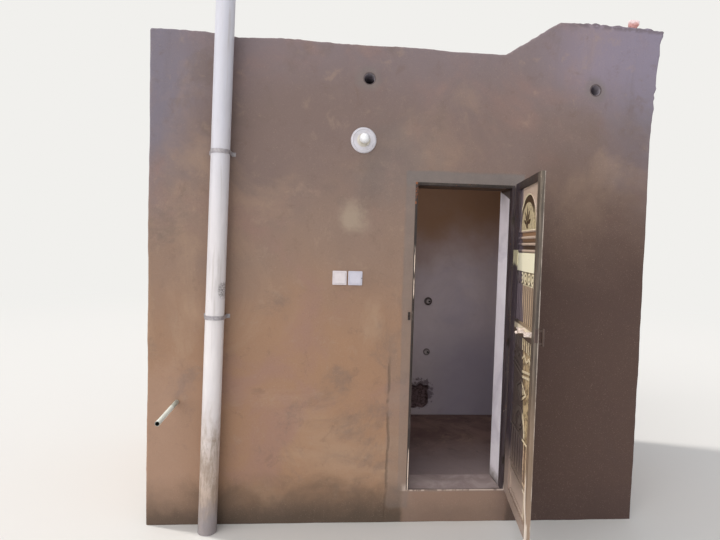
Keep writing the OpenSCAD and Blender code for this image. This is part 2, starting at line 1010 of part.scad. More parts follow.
leaf_lower_panel();
hinge_sleeves();
pull_handle();
bolt_guides();
door_bolt();
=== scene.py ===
import json
import math

import bmesh
import bpy
import numpy as np
from mathutils import Matrix, Vector


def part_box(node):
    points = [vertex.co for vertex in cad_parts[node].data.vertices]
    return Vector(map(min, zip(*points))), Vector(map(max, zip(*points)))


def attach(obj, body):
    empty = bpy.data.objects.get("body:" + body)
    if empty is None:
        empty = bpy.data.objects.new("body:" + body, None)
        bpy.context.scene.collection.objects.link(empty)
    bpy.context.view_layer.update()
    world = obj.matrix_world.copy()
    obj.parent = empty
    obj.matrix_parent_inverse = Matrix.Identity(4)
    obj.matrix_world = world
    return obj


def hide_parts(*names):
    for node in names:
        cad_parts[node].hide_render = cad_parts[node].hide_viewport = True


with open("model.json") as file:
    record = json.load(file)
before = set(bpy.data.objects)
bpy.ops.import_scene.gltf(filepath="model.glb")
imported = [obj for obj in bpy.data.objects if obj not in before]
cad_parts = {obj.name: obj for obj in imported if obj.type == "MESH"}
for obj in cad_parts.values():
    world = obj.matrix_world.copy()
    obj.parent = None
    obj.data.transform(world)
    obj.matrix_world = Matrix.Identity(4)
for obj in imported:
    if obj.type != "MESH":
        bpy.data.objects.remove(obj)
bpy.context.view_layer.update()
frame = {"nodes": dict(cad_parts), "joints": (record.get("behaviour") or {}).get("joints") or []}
nodes = frame["nodes"]
joints = {joint["name"]: joint for joint in frame["joints"]}
drain_names = ("drain_sleeve_left", "drain_sleeve_right")
clamp_names = ("pipe_clamp_upper", "pipe_clamp_lower")

# Places taken from the frame, in metres
wall_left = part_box("front_wall_left")
left_x, front_y = wall_left[0].x, wall_left[0].y
room_front = wall_left[1].y
foot_right_x = -left_x
room_rear, rear_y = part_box("rear_wall")[0].y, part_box("rear_wall")[1].y
room_left, room_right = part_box("floor_slab")[0].x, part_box("floor_slab")[1].x
floor_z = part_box("floor_slab")[1].z
ceiling_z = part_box("roof_boards")[0].z
roof_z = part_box("roof_screed")[1].z
door_x0, door_x1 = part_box("door_sill")[0].x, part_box("door_sill")[1].x
frame_x0, frame_x1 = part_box("door_frame_latch_jamb")[0].x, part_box("door_frame_hinge_jamb")[1].x
frame_top, frame_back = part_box("door_frame_head")[1].z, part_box("door_frame_head")[1].y
door_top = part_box("door_frame_head")[0].z

hinge = Vector(joints["door_swing"]["pos_m"])
bolt_axis = Vector(joints["bolt_slide"]["axis"])
door_open = math.atan2(-bolt_axis.y, -bolt_axis.x)
leaf_frame = Matrix.Translation((hinge.x, hinge.y, 0)) @ Matrix.Rotation(door_open, 4, "Z")


def middle(node):
    lo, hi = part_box(node)
    return (lo + hi) / 2


def bounds_of(points):
    """The lowest and highest corner of some points."""
    points = list(points)
    return tuple(Vector(pick(p[i] for p in points) for i in range(3)) for pick in (min, max))


def leaf_bounds(name):
    """A leaf node's lowest and highest corner in the leaf's own coordinates."""
    back = leaf_frame.inverted()
    return bounds_of(back @ v.co for v in nodes[name].data.vertices)


free_edge = leaf_bounds("leaf_latch_stile")[0].x


def rear_wall_patch():
    """The broken patch's box, outline and depth, read from the rear wall's recess in the frame."""
    recess = [v.co for v in nodes["rear_wall"].data.vertices
              if room_rear + 0.02 < v.co.y < rear_y - 0.02 and v.co.z < 1.0]
    lo, hi = bounds_of(recess)
    centre = (lo + hi) / 2
    outline = sorted({(round(math.atan2(c.z - centre.z, c.x - centre.x), 4),
                       round(math.hypot(c.z - centre.z, c.x - centre.x), 4)) for c in recess})
    return lo, hi, outline, lo.y - room_rear


patch_lo, patch_hi, patch_outline, patch_depth = rear_wall_patch()


def top_edge(names):
    """The worn top line of the front walls, read from the frame's own vertices at the front face."""
    found = {}
    for name in names:
        for v in nodes[name].data.vertices:
            if abs(v.co.y - front_y) < 0.001 and v.co.z > roof_z + 0.1:
                key = round(v.co.x, 4)
                found[key] = max(found.get(key, 0), v.co.z)
    far = max(found)
    return sorted((x, z) for x, z in found.items() if x < foot_right_x - 0.001 or x == far)


# The parapet's top as (x, z), and the right-hand edge of the front as (z, x)
top_points = top_edge(["front_wall_left", "front_wall_over_door", "front_wall_right"])
edge_points = sorted({(round(v.co.z, 4), round(v.co.x, 4)) for v in nodes["front_wall_right"].data.vertices
                      if abs(v.co.y - front_y) < 0.001 and v.co.x > foot_right_x - 0.001})
plumb_z = max(z for z, x in edge_points if x < foot_right_x + 0.001)
# Where the parapet starts to rise
step_foot_x = 0.588


def srgb(r, g, b):
    """A colour named by its 0 to 255 screen values, as Blender wants it."""
    def linear(c):
        c /= 255
        return c / 12.92 if c <= 0.04045 else ((c + 0.055) / 1.055) ** 2.4
    return (linear(r), linear(g), linear(b), 1)


class Value:
    """A number that varies over a surface. Plain signs make its math nodes, and | takes the larger."""

    def __init__(self, shade, socket):
        self.shade = shade
        self.socket = socket

    def __add__(self, other):
        return self.shade.math("ADD", self, other)

    def __sub__(self, other):
        return self.shade.math("SUBTRACT", self, other)

    def __rsub__(self, other):
        return self.shade.math("SUBTRACT", other, self)

    def __mul__(self, other):
        return self.shade.math("MULTIPLY", self, other)

    def __or__(self, other):
        return self.shade.math("MAXIMUM", self, other)

    def __abs__(self):
        return self.shade.math("ABSOLUTE", self)

    def span(self, a, b, low=0.0, high=1.0, smooth=True):
        """The value from a to b becomes low to high, and stays there beyond."""
        node = self.shade.add("ShaderNodeMapRange", Value=self, From_Min=a, From_Max=b,
                              To_Min=low, To_Max=high)
        node.interpolation_type = "SMOOTHSTEP" if smooth else "LINEAR"
        return Value(self.shade, node.outputs["Result"])

    def drop(self, a, b, high=1.0):
        """The value from a to b becomes high to 0."""
        return self.span(a, b, high, 0)

    def between(self, a, b, soft):
        """1 from a to b and 0 beyond, each with a soft step."""
        return self.span(a, a + soft) * self.drop(b, b + soft)


class Shade:
    """One node material, with short names for the nodes that all of them use.

    Colours are 0 to 255 triples. wash() lays one over what is there, and done() ends the material."""

    def __init__(self, name, rough, specular, metal=0.0):
        self.material = bpy.data.materials.new(name)
        self.material.use_nodes = True
        self.tree = self.material.node_tree
        self.tree.nodes.clear()
        self.out = self.tree.nodes.new("ShaderNodeOutputMaterial")
        self.shader = self.add("ShaderNodeBsdfPrincipled", Roughness=rough, Metallic=metal,
                               Specular_IOR_Level=specular)
        self.put(self.out.inputs["Surface"], self.shader.outputs["BSDF"])
        self.place = self.tree.nodes.new("ShaderNodeTexCoord").outputs["Object"]
        self.x, self.y, self.z = self.parts(self.place)
        self.colour = None
        self.heights = []

    def add(self, kind, **inputs):
        """A new node, with its inputs given by name and _ for a blank."""
        node = self.tree.nodes.new(kind)
        for name, value in inputs.items():
            self.put(node.inputs[name.replace("_", " ")], value)
        return node

    def put(self, socket, value):
        if isinstance(value, Value):
            value = value.socket
        if isinstance(value, bpy.types.NodeSocket):
            self.tree.links.new(value, socket)
        elif value is not None:
            socket.default_value = value

    def parts(self, vector):
        node = self.add("ShaderNodeSeparateXYZ", Vector=vector)
        return [Value(self, socket) for socket in node.outputs]

    def math(self, operation, a, b=None):
        node = self.tree.nodes.new("ShaderNodeMath")
        node.operation = operation
        for socket, value in zip(node.inputs, (a, b)):
            self.put(socket, value)
        return Value(self, node.outputs[0])

    def vector(self, operation, a, b, output="Vector"):
        node = self.tree.nodes.new("ShaderNodeVectorMath")
        node.operation = operation
        self.put(node.inputs[0], a)
        self.put(node.inputs[1], b)
        return node.outputs[output]

    def far(self, a, b):
        """The distance between two places."""
        return Value(self, self.vector("DISTANCE", a, b, "Value"))

    def reach(self, x, z):
        """The distance from the line that runs straight back through a place on the front."""
        return self.far(self.scaled(1, 0, 1), (x, 0, z))

    def scaled(self, x, y, z):
        return self.vector("MULTIPLY", self.place, (x, y, z))

    def shifted(self, x, y, z):
        return self.vector("ADD", self.place, (x, y, z))

    def noise(self, scale, detail, rough=0.55, warp=0.0, at=None):
        node = self.add("ShaderNodeTexNoise", Vector=at or self.place, Scale=scale, Detail=detail,
                        Roughness=rough, Distortion=warp)
        return Value(self, node.outputs["Fac"])

    def drift(self, size, scale, detail=4, rough=0.55, warp=0.0, at=None):
        """A wander of up to half of size either way, for the edge of a stain."""
        return (self.noise(scale, detail, rough, warp, at) - 0.5) * size

    def cells(self, scale, feature="F1", at=None):
        node = self.add("ShaderNodeTexVoronoi", Vector=at or self.place, Scale=scale)
        node.feature = feature
        return Value(self, node.outputs["Distance"])

    def near(self, x, z, radius, soft):
        """1 within a radius of a place on the front, 0 beyond it, with a ragged edge."""
        return (self.reach(x, z) + self.drift(soft * 1.6, 9, 3)).drop(radius, radius + soft)

    def patch(self, x0, x1, z0, z1, soft, wobble=0.02):
        """1 inside a rectangle of the front, 0 outside it, with an uneven edge."""
        shift = self.drift(wobble * 2, 6, 4, 0.65)
        x, z = self.x + shift, self.z + shift
        return (x.span(x0 - soft, x0) * x.drop(x1, x1 + soft)
                * z.span(z0 - soft, z0) * z.drop(z1, z1 + soft))

    def mix(self, share, a, b):
        node = self.tree.nodes.new("ShaderNodeMix")
        node.data_type = "RGBA"
        self.put(node.inputs["Factor"], share)
        colours = [socket for socket in node.inputs if socket.type == "RGBA"]
        for socket, value in zip(colours, (a, b)):
            self.put(socket, srgb(*value) if isinstance(value, tuple) else value)
        return next(socket for socket in node.outputs if socket.type == "RGBA")

    def wash(self, share, tone):
        self.colour = self.mix(share, self.colour, tone)

    def relief(self, *layers):
        """Adds (value, size) layers: each stands this many metres high where its value is 1."""
        self.heights += layers

    def done(self, rough=None):
        self.put(self.shader.inputs["Base Color"], self.colour)
        self.put(self.shader.inputs["Roughness"], rough)
        parts = [value * size for value, size in self.heights]
        total = parts[0]
        for part in parts[1:]:
            total = total + part
        bump = self.add("ShaderNodeBump", Distance=1.0, Strength=1.0, Height=total)
        self.put(self.shader.inputs["Normal"], bump.outputs["Normal"])
        return self.material


def earth_plaster():
    """The outer plaster: grey and cool high up, warm and sandy lower down with painted bounce light, damp at
    its foot.
    """
    s = Shade("earth_plaster", 0.9, specular=0.2)
    x, y, z = s.x, s.y, s.z

    def drift(scale, size, offset=(0, 0, 0)):
        return s.drift(size, scale, 5, 0.62, 0.4, s.shifted(*offset))

    front = y.drop(front_y + 0.01, front_y + 0.05)
    height = z + drift(0.9, 1.5)
    # Warmer lower down: the plaster's own tone, with painted warm bounce light from the ground
    s.colour = s.mix(height.span(0.7, 1.9), (158, 125, 101), (140, 119, 107))
    s.wash(height.span(1.7, 2.5), (125, 108, 103))
    # Cool grey weathering along the parapet and down both ends
    high = z + drift(1.3, 0.5, (2.2, 0.4, 1.7))
    s.wash(high.span(2.45, 3.05, 0, 0.6), (131, 121, 128))
    ends = (abs(x) + drift(1.6, 0.5, (1.2, 4.4, 0.3))).span(1.1, 1.6) * height.span(1.6, 2.6)
    s.wash(ends * abs(y).span(0.3, 0.8, 0.3, 1) * 0.65, (124, 122, 138))
    crown = high.span(2.6, 3.0) * x.span(0.7, 1.2) * y.span(front_y + 0.1, front_y + 0.8, 0.55, 0.2)
    s.wash(crown, (144, 135, 154))
    # Pinkish, pale and dark clouds, from broad to small
    calm = height.span(1.3, 2.4, 1, 0.55)
    s.wash(calm * s.noise(1.9, 6, 0.6, 0.5).span(0.5, 0.68, 0, 0.55), (150, 119, 110))
    pale_cloud = s.noise(1.4, 6, 0.62, 0.7, s.shifted(3.1, 1.2, 6.4))
    s.wash(calm * pale_cloud.span(0.52, 0.68, 0, 0.5), (170, 144, 122))
    s.wash(s.noise(2.6, 6, 0.66, 0.5, s.shifted(5.3, 1.1, 2.2)).span(0.54, 0.7, 0, 0.5), (118, 103, 96))
    flecks = s.noise(8.5, 6, 0.7, 0.4)
    s.wash(flecks.span(0.56, 0.72, 0, 0.3), (166, 144, 126))
    s.wash(flecks.drop(0.3, 0.44, 0.28), (112, 93, 84))
    # One paler patch of mending between the lamp and the plates
    s.wash(s.patch(-0.33, -0.295, 1.89, 1.95, 0.1, 0.12) * front * 0.6, (172, 156, 138))
    # Faint runs of rain below the parapet
    runs = s.noise(4.5, 5, 0.65, 0.5, s.scaled(1.6, 1.6, 0.2))
    s.wash(runs.span(0.54, 0.66) * z.span(1.9, 3.0, 0, 0.15), (108, 98, 98))
    # Damp at the foot all round, least at the left, and the riser under the door
    riser = s.patch(frame_x0, frame_x1, -0.1, floor_z, 0.05) * front
    dry = x.drop(left_x + 0.1, left_x + 0.6) * y.drop(front_y, front_y + 0.6)
    damp = (z + drift(3.1, 0.4)).drop(0.1, 0.34, 0.85) * riser.span(0, 1, 1, 0.25) * dry.span(0, 1, 1, 0.6)
    s.wash(dry * height.drop(0.7, 1.1, 0.35), (168, 144, 132))
    s.wash(damp, (102, 86, 74))
    s.wash(riser * 0.6, (134, 116, 108))
    s.wash((z + drift(9, 0.14)).drop(0.02, 0.16, 0.7) * riser.span(0, 1, 1, 0.35), (78, 68, 60))
    # Painted shadow of the open door leaf: a dark stretch of wall behind it
    side = (x + drift(1.5, 0.2)).span(door_x1 - 0.1, door_x1 + 0.2) * height.drop(1.3, 2.75, 0.95)
    s.wash(side * y.drop(front_y + 0.01, front_y + 0.07), (82, 66, 62))
    # The cement band round the door frame, and cement beside the lamp and round the drains
    band = 0.05
    cement = s.patch(frame_x0 - band, frame_x1 + band, floor_z, frame_top + band * 1.2, 0.02, 0.01)
    low_band = s.patch(frame_x0 - band * 2.4, frame_x0, floor_z - 0.1, 1.3, 0.03, 0.03)
    cement = cement * z.span(frame_top - 0.04, frame_top, 0.6, 1) | low_band * z.drop(0.8, 1.3, 0.38)
    lamp = middle("lamp_base")
    cement = cement | s.near(lamp.x + 0.2, lamp.z - 0.12, 0.1, 0.25) * 0.35
    for spot in map(middle, drain_names):
        cement = cement | s.near(spot.x, spot.z, 0.042, 0.05) * 0.6
    cement = cement * front
    s.wash(cement * 0.85, s.mix(s.noise(12, 5, 0.6, 0.6), (108, 103, 102), (132, 123, 119)))
    # The seam at the band's left edge, and painted shade for the gap at the hinge side of the frame
    seam = abs(x + drift(5, 0.05) - (frame_x0 - band * 2.5)).drop(0.002, 0.012)
    seam = seam * s.noise(4, 4).span(0.42, 0.52) * front * z.drop(0.95, 1.1)
    s.wash(seam * 0.55, (96, 80, 68))
    gap = x.span(frame_x1 - 0.004, frame_x1) * x.drop(frame_x1 + 0.025, frame_x1 + 0.045) * front
    gap = gap * z.drop(frame_top - 0.02, frame_top) * z.span(floor_z, floor_z + 0.03, 0, 0.85)
    s.wash(gap, (62, 52, 50))
    # The riser's upper edge, paler
    pale_band = s.noise(14, 5, 0.7, at=s.scaled(1, 1, 0.2)).span(0.42, 0.55)
    pale_band = z.span(floor_z - 0.012, floor_z - 0.006) * riser * pale_band * front
    s.wash(pale_band * 0.7, (206, 188, 176))
    # The dark, crumbling rim of the raised parapet
    slope, foot_z = np.polyfit(*zip(*[p for p in top_points if p[0] > 1.0]), 1)
    rim = (z - (x * float(slope) + float(foot_z))).span(-0.034, -0.01) * s.noise(26, 5, 0.7).span(0.4, 0.52)
    s.wash(rim * front * x.span(0.9, 1.05) * 0.7, (108, 98, 104))
    # Painted shade for the drains' open mouths on the roof side
    for spot in map(middle, drain_names):
        painted_mouth_shade = s.reach(spot.x, spot.z).drop(0.032, 0.034)
        painted_mouth_shade = painted_mouth_shade * y.span(room_front - 0.03, room_front - 0.02) * y.drop(0, 0.1)
        s.wash(painted_mouth_shade, (26, 22, 22))
    # Sand grains and straw
    grain = s.noise(170, 3, 0.7)
    s.wash(grain.span(0.58, 0.72, 0, 0.3), (182, 160, 142))
    s.wash(grain.drop(0.26, 0.4, 0.35), (80, 66, 58))
    straw = s.cells(60, at=s.scaled(0.35, 0.35, 1)).drop(0.0, 0.1) * s.noise(6, 3).span(0.55, 0.65)
    s.wash(straw * 0.4, (188, 166, 128))
    s.relief((s.noise(2.4, 5, 0.6, 0.5, s.scaled(1, 1, 1.5)), 0.006), (flecks, 0.0022),
             (s.noise(48, 4, 0.62, 0.5), 0.0011), (grain, 0.0005), (cement, -0.0015), (seam, -0.002))
    return s.done(cement.span(0, 1, 0.93, 0.8, False))


def limewash(name, dull, bright, brown, reveal=False):
    """The whitewashed inside, with painted shade browner near the ceiling and lilac-grey low down, and dark
    brown over the door.
    """
    s = Shade(name, 0.85, specular=0.25)
    y, z = s.y, s.z
    s.colour = s.mix(s.noise(1.5, 6, 0.65, 0.4).span(0.3, 0.72), dull, bright)
    lilac = s.noise(2.1, 5, 0.6, 0.6, s.shifted(4, 2, 1))
    s.wash(lilac.span(0.5, 0.7, 0, 0.4), (168, 160, 178))
    # Painted shade and bounce light: browner towards the ceiling, lilac-grey low down
    high = z + s.drift(0.5, 2.4, 5)
    s.wash(high.span(1.4, 2.05, 0, brown), (140, 100, 56))
    s.wash(high.drop(0.3, 1.1, brown * 0.6), (150, 142, 148))
    soffit = z.span(door_top - 0.02, door_top - 0.005) * y.drop(room_front - 0.02, room_front - 0.005)
    s.wash(soffit * 0.9, (74, 56, 44))
    s.wash(s.noise(5.5, 8, 0.72, 0.3).span(0.58, 0.7) * 0.14, (142, 128, 122))
    chips = s.cells(26).drop(0.0, 0.16) * s.noise(3.0, 3).span(0.62, 0.72)
    s.wash(chips * 0.6, (120, 100, 86))
    if reveal:
        # Painted shadow: a dark wedge across the top of the reveal
        head = z + (room_front - y) * 0.36
        s.wash(head.span(door_top - 0.008, door_top, 0, 0.9), (74, 56, 44))
        foot = z + s.drift(0.1, 18, 6, 0.7)
        s.wash(foot.drop(floor_z, floor_z + 0.09, 0.85), (128, 118, 112))
    else:
        spot = (patch_lo + patch_hi) / 2
        soot = s.far(s.place, (spot.x, room_rear, spot.z + 0.03)) + s.drift(0.34, 30, 6, 0.75)
        s.wash(soot.drop(0.1, 0.13, 0.8), (84, 70, 70))
        # Painted shade: bluish on the lower right of the back wall
        shady = (s.x + lilac * 0.4).span(0.45, 1.0) * z.drop(0.7, 1.3) * y.span(0, room_rear)
        s.wash(shady * 0.5, (132, 126, 148))
    broken = y.span(room_rear + 0.004, room_rear + 0.012) * y.drop(rear_y - 0.06, rear_y - 0.04)
    s.wash(broken, s.mix(s.noise(38, 6, 0.7, 0.6).span(0.35, 0.65), (62, 48, 50), (116, 96, 98)))
    s.relief((s.noise(16, 6, 0.65, 0.4), 0.0015), (s.noise(3.5, 4, 0.6, 0.4), 0.001), (chips, -0.0015))
    return s.done()


def cement_floor():
    """Worn cement, browner than the walls, and paler near the door."""
    s = Shade("cement_floor", 0.75, specular=0.35)
    s.colour = s.mix(s.noise(2.2, 6, 0.65, 1.2).span(0.35, 0.68), (102, 79, 74), (130, 106, 99))
    dust = s.noise(7, 6, 0.7, 0.8).span(0.5, 0.7)
    s.wash(dust * 0.5, (160, 138, 124))
    s.wash(s.noise(4.1, 5, 0.6, 2.0, s.shifted(3, 7, 1)).span(0.58, 0.7) * 0.6, (74, 58, 54))
    # Paler towards the door
    from_door = s.y + s.drift(0.3, 5, 5)
    s.wash(from_door.drop(room_front + 0.05, room_front + 0.8, 0.75), (150, 137, 138))
    s.relief((s.noise(30, 6, 0.65), 0.0025), (s.noise(120, 3, 0.6), 0.0008))
    return s.done(dust.span(0, 1, 0.65, 0.85, False))


def sill_cement():
    """The pale step under the door, plastered like the wall and worn on its edge."""
    s = Shade("sill_cement", 0.85, specular=0.25)
    cloud = s.noise(5, 6, 0.65, 1.0)
    s.colour = s.mix(cloud.span(0.35, 0.68), (154, 138, 136), (180, 165, 162))
    grain = s.noise(140, 3, 0.7)
    s.wash(grain.span(0.58, 0.72, 0, 0.4), (186, 170, 160))
    nosing = s.y + s.noise(8, 4) * 0.02
    s.wash(nosing.drop(front_y + 0.02, front_y + 0.035, 0.7), (92, 80, 76))
    s.relief((cloud, 0.004), (grain, 0.001))
    return s.done()


def roof_mud():
    """The roof's trodden mud and cement surface, greyer where water runs to the drains."""
    s = Shade("roof_mud", 0.92, specular=0.15)
    s.colour = s.mix(s.noise(1.6, 6, 0.65, 1.0).span(0.35, 0.68), (140, 121, 103), (166, 149, 130))
    s.wash(s.y.drop(room_front, room_front + 0.5, 0.7) * s.noise(4, 5), (98, 86, 78))
    crooked = s.vector("ADD", s.place, s.noise(2.6, 5, 0.7) * 0.7)
    cracks = s.cells(2.6, "DISTANCE_TO_EDGE", crooked).drop(0.0, 0.009) * s.noise(1.9, 3).span(0.5, 0.56)
    s.wash(cracks * 0.6, (80, 68, 58))
    s.relief((cracks, -0.003), (s.noise(22, 6, 0.7), 0.006), (s.noise(110, 3, 0.6), 0.001))
    return s.done()


def sawn_timber(name, stretch, dark, light, board_w=None):
    """Weathered wood whose grain runs along the stretched axis, with gaps where it is boards."""
    s = Shade(name, 0.78, specular=0.25)
    along = s.scaled(*stretch)
    fibre = s.noise(60, 6, 0.7, 0.8, along)
    s.colour = s.mix(fibre.span(0.35, 0.65), dark, light)
    if board_w:
        gap = abs(s.math("FRACT", s.math("DIVIDE", s.y, board_w)) - 0.5).span(0.47, 0.485)
        s.wash(gap, (30, 22, 16))
        s.relief((gap, -0.004))
    s.wash(s.cells(6, at=along).drop(0.0, 0.16) * 0.7, (58, 38, 26))
    s.wash(s.noise(2.4, 5, 0.6).span(0.45, 0.7) * 0.5, (120, 104, 90))
    s.relief((fibre, 0.002))
    return s.done()


def white_pipe(name, base, stain_top=None, bore=None):
    """White plastic pipe with dust and scuffs, brown stains near the ground, or painted shade near the wall
    and in a dark bore.
    """
    s = Shade(name, 0.38, specular=0.5)
    haze = s.noise(5, 5, 0.6, 0.5, s.scaled(1, 1, 0.25))
    s.colour = s.mix(s.z.span(1.5, 2.6, 0, 0.8), base, (196, 198, 212))
    s.wash(haze.span(0.35, 0.7, 0, 0.6), (196, 192, 196))
    s.wash(s.noise(32, 5, 0.65, 0.3, s.scaled(1, 1, 0.06)).span(0.55, 0.75, 0, 0.4), (168, 158, 150))
    if stain_top:
        low = s.z + s.drift(0.5, 6, 5, 0.65, 0.6)
        s.wash(low.drop(stain_top * 0.2, stain_top, 0.92), (184, 162, 146))
        mud = s.noise(24, 6, 0.75, 0.3, s.scaled(1, 1, 0.22)).span(0.4, 0.62)
        s.wash(low.drop(stain_top * 0.55, stain_top * 0.9, 0.75) * mud, (142, 124, 108))
        s.wash(low.drop(0.02, 0.3, 0.8), (134, 130, 136))
        # One scuffed place above the lower clamp
        scuffed = s.far(s.scaled(1, 0.3, 0.55), (-1.082, -0.29, 0.8)).drop(0.018, 0.034)
        s.wash(scuffed * s.noise(110, 5, 0.75).span(0.44, 0.52) * 0.7, (92, 86, 88))
    dots = s.cells(17).drop(0.0, 0.07) * s.noise(2.2, 2).span(0.55, 0.62)
    s.wash(dots * 0.8, (66, 60, 58))
    if bore:
        place, radius, end = bore
        # Painted shade: grey-green near the wall, a dark rim and a dark bore at the open end
        s.wash(s.y.span(front_y - 0.14, front_y - 0.1, 0, 0.75), (150, 154, 142))
        rim = s.y.drop(end + 0.001, end + 0.002, 0.6)
        s.wash(rim | s.reach(place.x, place.z).drop(radius, radius + 0.0012, 0.95), (30, 32, 22))
    s.relief((s.noise(40, 4), 0.0006))
    return s.done(haze.span(0.3, 0.7, 0.32, 0.55, False))


def moulded(name, base, dirt, spot=None, radius=None, tone=None):
    """White moulded plastic with dust in its corners, and one round spot of another tone."""
    s = Shade(name, 0.32, specular=0.5)
    haze = s.noise(24, 5, 0.65)
    s.colour = s.mix(haze.span(0.45, 0.75, 0, dirt), base, (170, 158, 148))
    if spot:
        s.wash(s.reach(*spot).drop(radius, radius * 1.15, 0.8), tone)
    s.relief((s.noise(160, 2), 0.00012))
    return s.done(haze.span(0.3, 0.7, 0.28, 0.45, False))


def outlet(name, centre, rim):
    """A dusty round fitting: dark round its rim, pale in its middle, with painted shade for a dark opening
    off-centre.
    """
    s = Shade(name, 0.5, specular=0.4)
    reach = s.reach(centre.x, centre.z) + s.drift(0.008, 60, 4, 0.7)
    s.colour = s.mix(reach.span(0.017, 0.022), (172, 162, 162), rim)
    # Painted shade for the dark opening
    s.wash(s.reach(centre.x + 0.011, centre.z - 0.003).drop(0.007, 0.010), (24, 20, 22))
    s.relief((s.noise(90, 3), 0.0004))
    return s.done()


def drain_pipe():
    """The drain's pale plastic bore behind a rim that the plasterer's cement has dulled."""
    s = Shade("drain_plastic", 0.6, specular=0.3)
    soot = s.noise(30, 5, 0.7)
    bore = s.mix(soot, (150, 142, 150), (190, 184, 192))
    s.colour = s.mix(s.y.span(front_y + 0.003, front_y + 0.008), (92, 82, 82), bore)
    s.relief((soot, 0.0006))
    return s.done()


def zinc():
    """Dull galvanised strap with white bloom and first rust."""
    s = Shade("zinc_strap", 0.5, metal=0.4, specular=0.5)
    bloom = s.noise(60, 5, 0.7)
    s.colour = s.mix(bloom.span(0.4, 0.65), (150, 146, 152), (182, 177, 180))
    s.wash(s.noise(28, 6, 0.7, 0.8).span(0.6, 0.72), (118, 76, 52))
    s.relief((bloom, 0.0005))
    return s.done(bloom.span(0.3, 0.7, 0.4, 0.62, False))


def bare_metal(name, base, light, metal=0.85):
    """Worn bare steel with rust in its hollows."""
    s = Shade(name, 0.4, metal=metal, specular=0.5)
    wear = s.noise(50, 6, 0.7, 0.5)
    s.colour = s.mix(wear.span(0.35, 0.65), base, light)
    rust = s.noise(38, 6, 0.72, 0.8).span(0.56, 0.66)
    s.wash(rust * 0.6, (116, 84, 66))
    s.relief((wear, 0.0004))
    return s.done(rust.span(0, 1, 0.38, 0.7, False))


def leaf_places(s):
    """The leaf's own coordinates in a shader: along it from the hinge, out of its middle plane, and up."""
    node = s.add("ShaderNodeMapping", Vector=s.vector("SUBTRACT", s.place, (hinge.x, hinge.y, 0)),
                 Rotation=(0, 0, -door_open))
    return s.parts(node.outputs[0])


def brushed(s, dark, light):
    """Paint with the brush's upright streaks. Returns the streaks."""
    streak = s.noise(70, 5, 0.65, 0.3, s.scaled(1, 1, 0.05))
    s.colour = s.mix(streak.span(0.35, 0.7), dark, light)
    return streak


def steel_paint(name, dark, light, rust_from, dusty=0.4, leaf=""):
    """Brushed-on paint over steel: dust, cream splashes, chips with rust, and on the leaf painted sunlight
    and a paler free edge.
    """
    s = Shade(name, 0.5, specular=0.4)
    streak = brushed(s, dark, light)
    dust = s.noise(6, 6, 0.68, 0.6).span(0.48, 0.74)
    s.wash(dust * dusty, (120, 108, 98))
    rust = s.noise(34, 7, 0.75, 0.9).span(rust_from, rust_from + 0.05)
    s.wash(rust, s.mix(s.noise(120, 3), (92, 54, 34), (150, 92, 52)))
    cream = s.noise(26, 6, 0.75, 0.7, s.vector("ADD", s.scaled(1, 1, 0.3), (3, 5, 8)))
    s.wash(cream.span(0.66, 0.7, 0, 0.8), (196, 180, 156))
    if leaf:
        x, inner, z = leaf_places(s)
        # Painted light: paler towards the foot of the leaf
        painted_light_z = z + s.drift(0.14, 7, 5, 0.6, 0.5)
        s.wash(painted_light_z.drop(0.3, 0.64, 0.85), (170, 150, 138))
    if leaf == "hinge":
        # Painted sunlight: the cream band runs on over the stile
        band = painted_light_z.span(1.65, 1.67) * z.drop(1.735, 1.74) * inner.span(0, 0.002)
        s.wash(band * 0.85, (206, 198, 164))
    if leaf == "latch":
        # Painted sunlight: paler towards the foot, with a bright line down to it; and a paler free edge
        s.wash(painted_light_z.drop(0.7, 1.25, 0.75), (140, 118, 98))
        line = abs(x - z.span(0.3, 0.45, free_edge + 0.016, free_edge + 0.052)).drop(0.012, 0.02)
        s.wash(line * inner.span(0.004, 0.007) * painted_light_z.drop(0.52, 0.6, 0.95), (252, 240, 228))
        edge = x.span(free_edge + 0.001, free_edge + 0.0004) * inner.drop(-0.0095, -0.0078)
        s.wash(edge * s.noise(7, 5, 0.7).span(0.4, 0.6, 0.1, 0.7), (196, 184, 174))
    s.relief((streak, 0.0004), (rust, -0.0005), (s.noise(200, 2), 0.0002))
    return s.done(dust.span(0, 1, 0.42, 0.62, False) + rust * 0.3)


def jamb_flakes_and_glints():
    """The latch jamb: dark paint with long pale flakes and painted glints down its corner, and rust at its
    top.
    """
    s = Shade("jamb_paint", 0.5, specular=0.4)
    streak = brushed(s, (36, 28, 26), (62, 50, 46))
    # Pale paint flakes and painted glints of light along the jamb's corner
    flakes_and_glints = abs(s.x - (frame_x0 + 0.009)).drop(0.0015, 0.004) * s.z.drop(1.84, 1.92)
    flakes_and_glints = flakes_and_glints * s.noise(9, 5, 0.6, 0.2, s.scaled(1, 1, 0.16)).span(0.5, 0.55)
    s.wash(flakes_and_glints, s.mix(s.noise(14, 4), (214, 186, 160), (240, 226, 216)))
    s.wash((s.noise(28, 6, 0.72) + s.z.span(1.9, 2.1, 0, 0.14)).span(0.62, 0.7), (140, 82, 48))
    s.relief((flakes_and_glints, 0.0006), (streak, 0.0004))
    return s.done()


